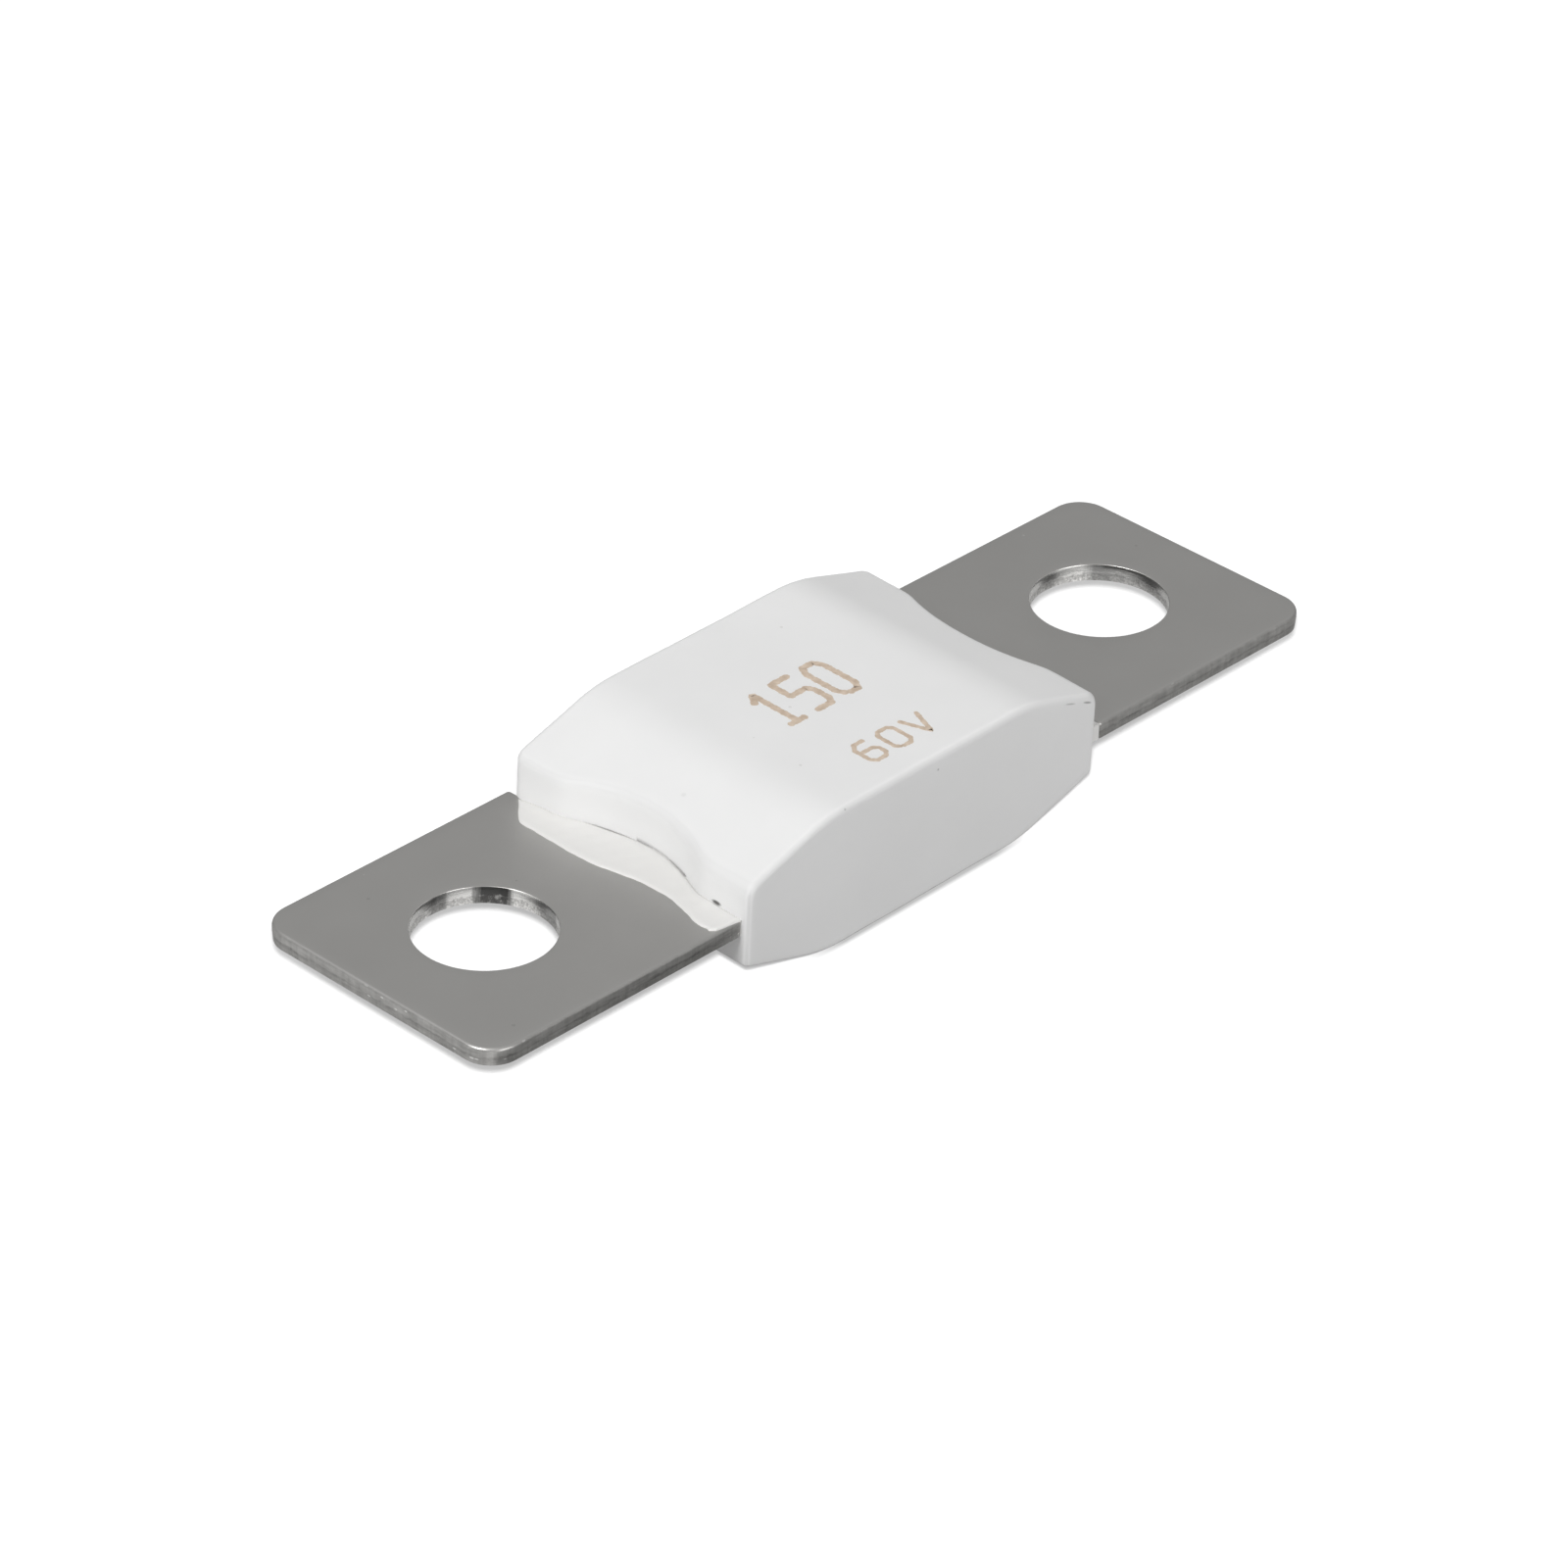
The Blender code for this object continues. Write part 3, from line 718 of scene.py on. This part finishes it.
def two_tones(tree, value, low, high, one, two):
    """Colour that goes from one tone at the low mark of a value to another at its high mark."""
    ramp = tree.nodes.new("ShaderNodeValToRGB")
    for element, mark_at, tone in zip(ramp.color_ramp.elements, (low, high), (one, two)):
        element.position = mark_at
        element.color = (*tone, 1)
    tree.links.new(value, ramp.inputs["Fac"])
    return ramp.outputs["Color"]


def blotch(tree, place, scale, low, high, one, two, detail=3.0):
    """Colour that drifts between two tones with a noise, from its low to its high mark."""
    return two_tones(tree, noise_value(tree, place, scale, detail, 0.5), low, high, one, two)


def mixed(tree, factor, *colours):
    """Colour between two others, each a socket or a plain colour."""
    mix = node(tree, "ShaderNodeMix", data_type="RGBA")
    tree.links.new(factor, mix.inputs["Factor"])
    for socket, colour in zip((mix.inputs[6], mix.inputs[7]), colours):
        if isinstance(colour, tuple):
            socket.default_value = (*colour, 1)
        else:
            tree.links.new(colour, socket)
    return mix.outputs[2]


def tint(tree, factor, below, colour, amount=1.0):
    """Lays a colour over another where the factor is high, at most by the amount."""
    return mixed(tree, product(tree, factor, amount), below, colour)


def bump(tree, shader, height, strength, distance):
    """Height to the shader's normal."""
    made = node(tree, "ShaderNodeBump", Strength=strength, Distance=distance)
    tree.links.new(height, made.inputs["Height"])
    tree.links.new(made.outputs["Normal"], shader.inputs["Normal"])


def mark(tree, place, middle, size, turn=0.0):
    """Soft spot of the given half sizes (all in millimetres), turned about Y; one at its middle."""
    shifted = stretched(tree, place, (1, 1, 1), [-v * MM for v in middle])
    spun = node(tree, "ShaderNodeMapping", vector_type="TEXTURE")
    spun.inputs["Rotation"].default_value = (0, math.radians(turn), 0)
    spun.inputs["Scale"].default_value = [v * MM for v in size]
    tree.links.new(shifted, spun.inputs["Vector"])
    return ranged(tree, reach_of(tree, spun.outputs["Vector"]), 1.0, 0.45)


GRAIN = make_grain()
SPECKS = make_specks()
# Grey painted on the sleeve's rounded edges and uprights as shade
EDGE_SHADE_GREY = (0.66, 0.66, 0.658)
MARK_AND_PIT_SHADE_BROWN = (0.10, 0.098, 0.092)
# Marks on the sleeve, the first of them painted shade for a pinhole pit in the crease at the near end:
# middle and half sizes in millimetres, turn about Y in degrees, darkness
SLEEVE_MARKS_AND_PIT_SHADE = (
    # Painted shade: a dark pinhole pit where the compound meets the near end face
    ((-14.64, -7.37, 5.06), (0.22, 0.42, 0.17), 0.0, 0.92),
    ((12.25, -9.53, 7.50), (0.58, 0.16, 0.07), 21.0, 0.40),
    ((13.80, -9.48, 6.92), (0.48, 0.16, 0.085), 24.0, 0.60),
    ((-11.64, -1.75, 8.28), (0.20, 0.20, 0.14), 0.0, 0.09),
    ((0.86, -9.70, 8.10), (0.10, 0.16, 0.10), 0.0, 0.45),
    ((-6.91, -9.70, 8.90), (0.12, 0.16, 0.10), 0.0, 0.45),
)


def ceramic_finish():
    """White fired ceramic: matt, finely grained, its rounded edges and uprights painted greyer as shade
    that damps their highlights, a few grey specks and marks, one of them a pinhole pit painted dark as
    shade.
    """
    mat, tree, shader, place = new_finish("white_ceramic", 0.55, specular=0.35)
    colour = blotch(tree, place, 160.0, 0.3, 0.7, (0.790, 0.790, 0.788), (0.812, 0.812, 0.810))
    facing = axes(tree, tree.nodes.new("ShaderNodeNewGeometry").outputs["Normal"])
    steep = maths(tree, "ABSOLUTE", facing["Z"])
    # Painted shade: the rounded long edges and the rounded uprights are painted greyer, to damp the
    # highlight that the lamps put on them
    painted_edge_shade = product(tree, ranged(tree, steep, 0.05, 0.40), ranged(tree, steep, 0.94, 0.80))
    colour = tint(tree, painted_edge_shade, colour, EDGE_SHADE_GREY, 0.45)
    turning = maths(tree, "ABSOLUTE", product(tree, facing["X"], facing["Y"]))
    colour = tint(tree, ranged(tree, turning, 0.40, 0.48), colour, EDGE_SHADE_GREY, 0.65)
    specks = use(tree, SPECKS, place, Spacing=520.0, Size=0.05, Share=0.10)
    colour = tint(tree, specks, colour, (0.45, 0.44, 0.42), 0.3)
    # Surface marks; the first is painted shade standing for a pinhole pit
    for middle, size, turn, darkness in SLEEVE_MARKS_AND_PIT_SHADE:
        colour = tint(tree, mark(tree, place, middle, size, turn), colour, MARK_AND_PIT_SHADE_BROWN, darkness)
    tree.links.new(colour, shader.inputs["Base Color"])
    grain = use(tree, GRAIN, place, Grain_Size=5200.0, Slow_Size=420.0, Slow_Share=0.45)
    bump(tree, shader, grain, 0.25, 0.00004)
    tree.links.new(drift(tree, place, 700.0, 0.48, 0.62), shader.inputs["Roughness"])
    return mat


def compound_finish():
    """Cured sealing compound: smooth, a little warmer than the ceramic."""
    mat, tree, shader, place = new_finish("sealing_compound", 0.42, specular=0.4)
    colour = blotch(tree, place, 260.0, 0.3, 0.75, (0.752, 0.745, 0.728), (0.770, 0.764, 0.750))
    specks = use(tree, SPECKS, place, Spacing=800.0, Size=0.07, Share=0.06)
    colour = tint(tree, specks, colour, (0.50, 0.48, 0.44), 0.5)
    tree.links.new(colour, shader.inputs["Base Color"])
    grain = use(tree, GRAIN, place, Grain_Size=2600.0, Slow_Size=500.0, Slow_Share=0.8)
    bump(tree, shader, grain, 0.35, 0.00008)
    tree.links.new(drift(tree, place, 500.0, 0.36, 0.5), shader.inputs["Roughness"])
    return mat


# Cut edges: heights above the origin where the break begins and where the dark line on it ends,
# how far both wander, and how far past the hole's radius its rolled wall goes
BREAK_BEGINS = (4.62, 4.50)
BREAK_LINE_ENDS = (4.40, 4.52)
BREAK_WANDER = 0.6
HOLE_WALL_MARGIN = 0.5


def plated_finish(name, hole_x, bands, tone):
    """Matt tin plating with worn cut edges.

    The edges carry marks along the strip and faint upright shear streaks over a rougher,
    darker break. The bolt hole's wall is painted in upright bands, given as turns about
    the hole and how bright each is: partly burnish, partly painted reflection.
    """
    mat, tree, shader, place = new_finish(name, 0.38, metallic=1.0)
    link = tree.links.new
    # The tone scales the plating's whole colour; the right terminal's darker copy is painted shade
    dull, bright = (
        [tone * v for v in colour] for colour in ((0.502, 0.496, 0.481), (0.525, 0.519, 0.504))
    )
    colour = blotch(tree, place, 190.0, 0.25, 0.75, dull, bright, 5.0)
    light = use(tree, SPECKS, place, Spacing=900.0, Size=0.075, Share=0.10)
    colour = tint(tree, light, colour, (0.80, 0.80, 0.79), 0.35)
    elsewhere = stretched(tree, place, (1, 1, 1), (0.011, 0.017, 0.0))
    grey = use(tree, SPECKS, elsewhere, Spacing=700.0, Size=0.08, Share=0.12)
    colour = tint(tree, grey, colour, (0.30, 0.30, 0.29), 0.35)

    facing = axes(tree, tree.nodes.new("ShaderNodeNewGeometry").outputs["Normal"])
    cut = ranged(tree, maths(tree, "ABSOLUTE", facing["Z"]), 0.85, 0.25)
    along = streaks(tree, place, (0.16, 0.16, 1.0), 3600.0, 4.0, 0.36, 0.64)
    upright = streaks(tree, place, (1.0, 1.0, 0.10), 2600.0, 3.0, 0.35, 0.65)
    uneven_by = noise_value(tree, place, 1400.0, 4.0, 0.6)
    height_on_edge = maths(tree, "MULTIPLY_ADD", uneven_by, BREAK_WANDER * MM, axes(tree, place)["Z"])
    broken = soft_edge(tree, height_on_edge, BREAK_BEGINS)
    grit = ranged(tree, noise_value(tree, place, 7000.0, 3.0, 0.7), 0.35, 0.65)
    line = product(tree, broken, soft_edge(tree, height_on_edge, BREAK_LINE_ENDS))
    worn = maths(tree, "MULTIPLY_ADD", along, 0.50, product(tree, upright, 0.35))
    worn = maths(tree, "MULTIPLY_ADD", line, 0.35, worn)
    gritty = product(tree, broken, grit)
    worn = maths(tree, "MULTIPLY_ADD", gritty, 0.25, worn)
    dark = product(tree, cut, worn)
    colour = tint(tree, dark, colour, (0.17, 0.167, 0.16), 0.70)
    drawn_out = stretched(tree, place, (0.45, 0.45, 1.0))
    flecks = use(tree, SPECKS, drawn_out, Spacing=3600.0, Size=0.24, Share=0.04)
    colour = tint(tree, product(tree, cut, flecks), colour, (0.95, 0.95, 0.93), 0.5)

    # Hole wall: upright bands of burnish and painted reflection, bright and dark by their turn about the
    # hole
    centred = stretched(tree, place, (1, 1, 0), (-hole_x, 0, 0))
    in_hole = maths(tree, "LESS_THAN", reach_of(tree, centred), (HOLE_RADIUS + HOLE_WALL_MARGIN) * MM)
    wall = product(tree, cut, in_hole)
    turned = node(tree, "ShaderNodeTexGradient", gradient_type="RADIAL")
    link(centred, turned.inputs["Vector"])
    jitter = maths(tree, "MULTIPLY_ADD", upright, 0.012, turned.outputs["Fac"])
    ramp = tree.nodes.new("ShaderNodeValToRGB")
    while len(ramp.color_ramp.elements) < len(bands):
        ramp.color_ramp.elements.new(0.5)
    for element, (turn, value) in zip(ramp.color_ramp.elements, bands):
        element.position = turn
        element.color = (value, value * 0.99, value * 0.965, 1)
    link(jitter, ramp.inputs["Fac"])
    burnish_and_reflection = tint(tree, gritty, ramp.outputs["Color"], (0.12, 0.118, 0.114), 0.65)
    dabs = ranged(tree, noise_value(tree, place, 2300.0, 4.0, 0.75), 0.52, 0.64)
    burnish_and_reflection = tint(tree, product(tree, dabs, broken), burnish_and_reflection, (0.55, 0.545, 0.53), 0.55)
    link(mixed(tree, wall, colour, burnish_and_reflection), shader.inputs["Base Color"])

    grain = use(tree, GRAIN, place, Grain_Size=3600.0, Slow_Size=260.0, Slow_Share=0.5)
    height = maths(tree, "MULTIPLY_ADD", dark, -1.5, grain)
    bump(tree, shader, height, 0.12, 0.00003)
    shine = product(tree, wall, maths(tree, "MULTIPLY_ADD", broken, 0.14, -0.18))
    link(maths(tree, "ADD", drift(tree, place, 900.0, 0.36, 0.46), shine), shader.inputs["Roughness"])
    return mat


def print_finish():
    """Thin tan print, worn unevenly."""
    mat, tree, shader, place = new_finish("tan_print", 0.6, specular=0.3)
    colour = blotch(tree, place, 2400.0, 0.30, 0.70, (0.50, 0.39, 0.295), (0.68, 0.57, 0.465), 4.0)
    tree.links.new(colour, shader.inputs["Base Color"])
    grain = use(tree, GRAIN, place, Grain_Size=6000.0, Slow_Size=900.0, Slow_Share=0.4)
    bump(tree, shader, grain, 0.2, 0.00003)
    return mat


def copper_finish():
    """Rolled copper: fine lines along the strip and faint brown stains."""
    mat, tree, shader, place = new_finish("rolled_copper", 0.32, metallic=1.0)
    colour = blotch(tree, place, 420.0, 0.35, 0.8, (0.86, 0.46, 0.30), (0.62, 0.30, 0.19))
    tree.links.new(colour, shader.inputs["Base Color"])
    lines = stretched(tree, place, (0.05, 1.0, 1.0))
    grain = use(tree, GRAIN, lines, Grain_Size=5200.0, Slow_Size=700.0, Slow_Share=0.3)
    bump(tree, shader, grain, 0.2, 0.00003)
    return mat


def tin_finish():
    """Bright cast tin with a dull skin in patches."""
    mat, tree, shader, place = new_finish("cast_tin", 0.28, metallic=1.0)
    colour = blotch(tree, place, 900.0, 0.35, 0.7, (0.78, 0.78, 0.76), (0.60, 0.60, 0.59))
    tree.links.new(colour, shader.inputs["Base Color"])
    grain = use(tree, GRAIN, place, Grain_Size=3000.0, Slow_Size=1200.0, Slow_Share=0.6)
    bump(tree, shader, grain, 0.3, 0.00005)
    tree.links.new(drift(tree, place, 1500.0, 0.22, 0.4), shader.inputs["Roughness"])
    return mat


ceramic = ceramic_finish()
compound = compound_finish()
# Bands of each hole's wall, partly burnish and partly painted reflection: turn about the hole, from half a
# turn behind +X, and reflectance
LEFT_WALL_REFLECTION_BANDS = (
    (0.30, 0.95), (0.43, 0.95), (0.445, 0.52), (0.50, 0.58), (0.515, 0.95), (0.57, 0.92), (0.585, 0.07),
    (0.645, 0.09), (0.665, 0.85), (0.71, 0.80), (0.725, 0.35), (0.755, 0.40), (0.775, 1.0), (0.90, 1.0),
)
RIGHT_WALL_REFLECTION_BANDS = (
    (0.30, 0.90), (0.45, 0.85), (0.49, 0.62), (0.58, 0.58), (0.60, 0.42), (0.635, 0.44), (0.66, 1.0),
    (0.715, 1.0), (0.735, 0.70), (0.755, 0.70), (0.775, 1.0), (0.90, 1.0),
)
left_plated = plated_finish("tin_plating_left", -HOLE_X * MM, LEFT_WALL_REFLECTION_BANDS, 0.99)
# The right terminal's copy of the plating is toned a little darker overall: painted shade
right_plated = plated_finish("tin_plating_right", HOLE_X * MM, RIGHT_WALL_REFLECTION_BANDS, 0.955)
printed = print_finish()

sleeve = make_sleeve()
left_terminal = make_terminal("stamped_terminal_left", -1)
right_terminal = make_terminal("stamped_terminal_right", 1)
left_seal = make_seal("compound_left", -1)
right_seal = make_seal("compound_right", 1)
rating = make_figures(
    "rating_figures", "150", corner=(-3.55, -1.40), size=(1.85, 3.60), gap=0.47, width=0.44
)
voltage = make_figures(
    "voltage_figures", "60V", corner=(-2.70, -7.30), size=(1.60, 1.95), gap=0.48, width=0.30
)

PIECES = [
    (sleeve, "ceramic_body", "white_ceramic", ceramic),
    (left_terminal, "left_terminal", "tinned_metal", left_plated),
    (right_terminal, "right_terminal", "tinned_metal", right_plated),
    (left_seal, "left_end_seal", "sealing_compound", compound),
    (right_seal, "right_end_seal", "sealing_compound", compound),
    (rating, None, None, printed),
    (voltage, None, None, printed),
]
for made, node_name, slot_name, finish in PIECES:
    made.data.materials.clear()
    made.data.materials.append(finish)
    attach(made, "root")
    if node_name:
        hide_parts(node_name)

for node_name, finish in (("fuse_element", copper_finish()), ("tin_spot", tin_finish())):
    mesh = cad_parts[node_name].data
    mesh.materials.clear()
    mesh.materials.append(finish)


# Camera: where the picture was taken from, aimed by its own turn and shift across the view,
# in degrees and millimetres
CAMERA_AZIMUTH = -46.649
CAMERA_ELEVATION = 32.513
CAMERA_ROLL = 1.506
CAMERA_DISTANCE = 408.155
CAMERA_ACROSS = -1.129
CAMERA_UP = -1.512
CAMERA_LENS = 162.38


def towards(azimuth, elevation):
    """Unit vector from the part towards an azimuth and an elevation, both in degrees."""
    a, e = math.radians(azimuth), math.radians(elevation)
    return Vector((math.sin(a) * math.cos(e), -math.cos(a) * math.cos(e), math.sin(e)))


def make_camera():
    """Camera on the line given by azimuth and elevation, rolled, and moved across its own picture."""
    azimuth, roll = math.radians(CAMERA_AZIMUTH), math.radians(CAMERA_ROLL)
    back = towards(CAMERA_AZIMUTH, CAMERA_ELEVATION)
    level = Vector((math.cos(azimuth), math.sin(azimuth), 0))
    above = back.cross(level)
    right = math.cos(roll) * level + math.sin(roll) * above
    up = -math.sin(roll) * level + math.cos(roll) * above
    centre = back * CAMERA_DISTANCE + right * CAMERA_ACROSS + up * CAMERA_UP
    data = bpy.data.cameras.new("camera")
    data.lens = CAMERA_LENS
    data.sensor_width = 36.0
    data.clip_start = 0.01
    data.clip_end = 20.0
    camera = add("camera", data)
    place = Matrix((right, up, back)).transposed().to_4x4()
    place.translation = (centre + Vector((0, 0, STRIP_TOP))) * MM
    camera.matrix_world = place
    bpy.context.scene.camera = camera
    return camera


def sun(name, azimuth, elevation, strength, spread):
    """Distant lamp of a given width in degrees, shining from an azimuth and elevation."""
    data = bpy.data.lights.new(name, "SUN")
    data.energy = strength
    data.angle = math.radians(spread)
    lamp = add(name, data)
    lamp.rotation_euler = towards(azimuth, elevation).to_track_quat("Z", "Y").to_euler()
    return lamp


def near_lamp(name, camera, lift, radius, strength):
    """Round lamp just above the camera, even at any distance: it draws a thin rim of shade below edges."""
    data = bpy.data.lights.new(name, "POINT")
    data.energy = strength
    data.shadow_soft_size = radius * MM
    data.use_nodes = True
    tree = data.node_tree
    falloff = node(tree, "ShaderNodeLightFalloff", Strength=1.0)
    tree.links.new(falloff.outputs["Constant"], tree.nodes["Emission"].inputs["Strength"])
    lamp = add(name, data)
    lamp.location = camera.matrix_world @ Vector((0, lift * MM, 0))
    return lamp


# Floor: half its size in metres, its depth below the origin in millimetres, and what the camera sees
FLOOR_HALF = 1.5
FLOOR_DROP = 0.45
FLOOR_TONE = 0.37
FLOOR_GLOW = 0.42
# Shade around the flat that the sleeve stands on: the flat's middle, half width and chamfered corner
# (its direction and distance), then where the shade starts and ends, outwards and along the sleeve
FOOT_MIDDLE = (0.02, -0.152)
FOOT_HALF = 9.0
FOOT_CORNER = (0.549, 0.836, 12.22)
FOOT_SHADE_OUT = (0.62, 0.22)
FOOT_SHADE_ALONG = (9.5, 6.4)
FOOT_DARKNESS = 0.50
# What the part sees of the floor: tones, and the soft edges between them in millimetres. The wedge's
# edges are turns about its tip.
CARD_BEHIND = 0.242
CARD_FRONT = 0.155
FRONT_EDGE = (-8.5, -10.5)
FAR_TONE = 0.09
FAR_EDGE = (10.0, 22.0)
LEFT_TONE = 0.13
LEFT_EDGE = (-37.5, -35.5)
WEDGE_TIP = (-33.0, -8.0)
WEDGE_ENTRY = (0.100, 0.118)
WEDGE_EXIT = (0.168, 0.150)
WEDGE_TONE = 0.36
BLOT_MIDDLE = (-17.5, -11.0)
BLOT_EDGE = (6.0, 3.0)
BLOT_DARKNESS = 0.28
HOLE_GLOW_EDGE = (4.6, 3.8)
HOLE_GLOW = 0.80


def floor_disc(tree, place, middle, marks):
    """Soft disc on the floor around a middle: one inside its inner mark, none past its outer one."""
    centred = stretched(tree, place, (1, 1, 0), (-middle[0] * MM, -middle[1] * MM, 0))
    return soft_edge(tree, reach_of(tree, centred), marks)


def foot_shade(tree, place):
    """Shade on the floor close around the flat that the sleeve stands on, fading where its ends rise."""
    turned = stretched(tree, place, (1, 1, 0), (-FOOT_MIDDLE[0] * MM, -FOOT_MIDDLE[1] * MM, 0))
    turned.node.inputs["Rotation"].default_value = (0, 0, math.radians(-SLEEVE_YAW))
    split = axes(tree, turned)
    across, along = maths(tree, "ABSOLUTE", split["Y"]), maths(tree, "ABSOLUTE", split["X"])
    x_share, y_share, distance = FOOT_CORNER
    corner = maths(tree, "MULTIPLY_ADD", across, y_share, -distance * MM)
    corner = maths(tree, "MULTIPLY_ADD", along, x_share, corner)
    outside = maths(tree, "MAXIMUM", maths(tree, "SUBTRACT", across, FOOT_HALF * MM), corner)
    near = soft_edge(tree, outside, FOOT_SHADE_OUT)
    return product(tree, near, soft_edge(tree, along, FOOT_SHADE_ALONG))


def floor_cards(tree, place):
    """Tones of the floor as the part sees it, standing for the studio's cards.

    It is darker in front of the tabs and darkest off the sleeve's near corner, lighter to
    the left of the near tab and in front of the far one, and brightest in a wedge that
    opens from the near tab's front corner.
    """
    split = axes(tree, place)
    front = soft_edge(tree, split["Y"], FRONT_EDGE)
    cards = ranged(tree, front, 0.0, 1.0, CARD_BEHIND, CARD_FRONT)
    far = product(tree, front, soft_edge(tree, split["X"], FAR_EDGE))
    cards = maths(tree, "MULTIPLY_ADD", far, FAR_TONE, cards)
    cards = maths(tree, "ADD", cards, soft_edge(tree, split["X"], LEFT_EDGE, LEFT_TONE, 0.0))
    about_tip = stretched(tree, place, (1, 1, 1), (-WEDGE_TIP[0] * MM, -WEDGE_TIP[1] * MM, 0.0))
    wedge = node(tree, "ShaderNodeTexGradient", gradient_type="RADIAL")
    tree.links.new(about_tip, wedge.inputs["Vector"])
    into, out_of = (ranged(tree, wedge.outputs["Fac"], *marks) for marks in (WEDGE_ENTRY, WEDGE_EXIT))
    cards = maths(tree, "MULTIPLY_ADD", product(tree, into, out_of), WEDGE_TONE, cards)
    blot = floor_disc(tree, place, BLOT_MIDDLE, BLOT_EDGE)
    return product(tree, cards, maths(tree, "MULTIPLY_ADD", blot, -BLOT_DARKNESS, 1.0))


def make_floor():
    """Pale floor: the camera sees it near white, the part sees cards and a glow below each bolt hole."""
    mesh = bpy.data.meshes.new("floor")
    signs = ((-1, -1), (1, -1), (1, 1), (-1, 1))
    corners = [(x * FLOOR_HALF, y * FLOOR_HALF, -FLOOR_DROP * MM) for x, y in signs]
    mesh.from_pydata(corners, [], [(0, 1, 2, 3)])
    floor = add("floor", mesh)
    mat, tree, shader, place = new_finish("pale_floor", 0.9, specular=0.0)
    to_camera = tree.nodes.new("ShaderNodeLightPath").outputs["Is Camera Ray"]
    open_floor = maths(tree, "MULTIPLY_ADD", foot_shade(tree, place), -FOOT_DARKNESS, 1.0)
    toned = product(tree, open_floor, FLOOR_TONE)
    tree.links.new(mixed(tree, to_camera, floor_cards(tree, place), toned), shader.inputs["Base Color"])
    shader.inputs["Emission Color"].default_value = (1, 1, 1, 1)
    discs = [floor_disc(tree, place, (side * HOLE_X, 0), HOLE_GLOW_EDGE) for side in (-1, 1)]
    unseen = maths(tree, "SUBTRACT", HOLE_GLOW, product(tree, to_camera, HOLE_GLOW))
    to_part = product(tree, maths(tree, "ADD", *discs), unseen)
    lifted = product(tree, to_camera, open_floor)
    glow = maths(tree, "MULTIPLY_ADD", lifted, FLOOR_GLOW, to_part)
    tree.links.new(glow, shader.inputs["Emission Strength"])
    mesh.materials.append(mat)
    return floor


def make_world():
    """Even studio surround, brighter overhead; the camera sees it as a pale backdrop."""
    world = bpy.data.worlds.new("studio")
    bpy.context.scene.world = world
    world.use_nodes = True
    tree = world.node_tree
    place = tree.nodes.new("ShaderNodeTexCoord").outputs["Generated"]
    surround = two_tones(tree, axes(tree, place)["Z"], 0.0, 1.0, (0.34, 0.34, 0.34), (0.62, 0.62, 0.62))
    to_camera = tree.nodes.new("ShaderNodeLightPath").outputs["Is Camera Ray"]
    seen = mixed(tree, to_camera, surround, (0.95, 0.95, 0.95))
    tree.links.new(seen, tree.nodes["Background"].inputs["Color"])


def light_only(name, objects, lamps):
    """Lamps that light only the given objects."""
    lit = bpy.data.collections.new(name)
    for obj in objects:
        lit.objects.link(obj)
    for lamp in lamps:
        lamp.light_linking.receiver_collection = lit


camera = make_camera()
make_world()
floor = make_floor()
left_lamp = sun("left_lamp", azimuth=-88.0, elevation=41.5, strength=1.70, spread=26.0)
front_lamp = sun("front_lamp", azimuth=-2.0, elevation=12.0, strength=0.98, spread=40.0)
floor_lamp = near_lamp("floor_lamp", camera, lift=19.5, radius=11.0, strength=100.4)
inside = [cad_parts[name] for name in ("fuse_element", "tin_spot")]
light_only("floor_only", [floor], [floor_lamp])
light_only("part_only", [row[0] for row in PIECES] + inside, [left_lamp, front_lamp])
bpy.context.scene.view_settings.view_transform = "Standard"
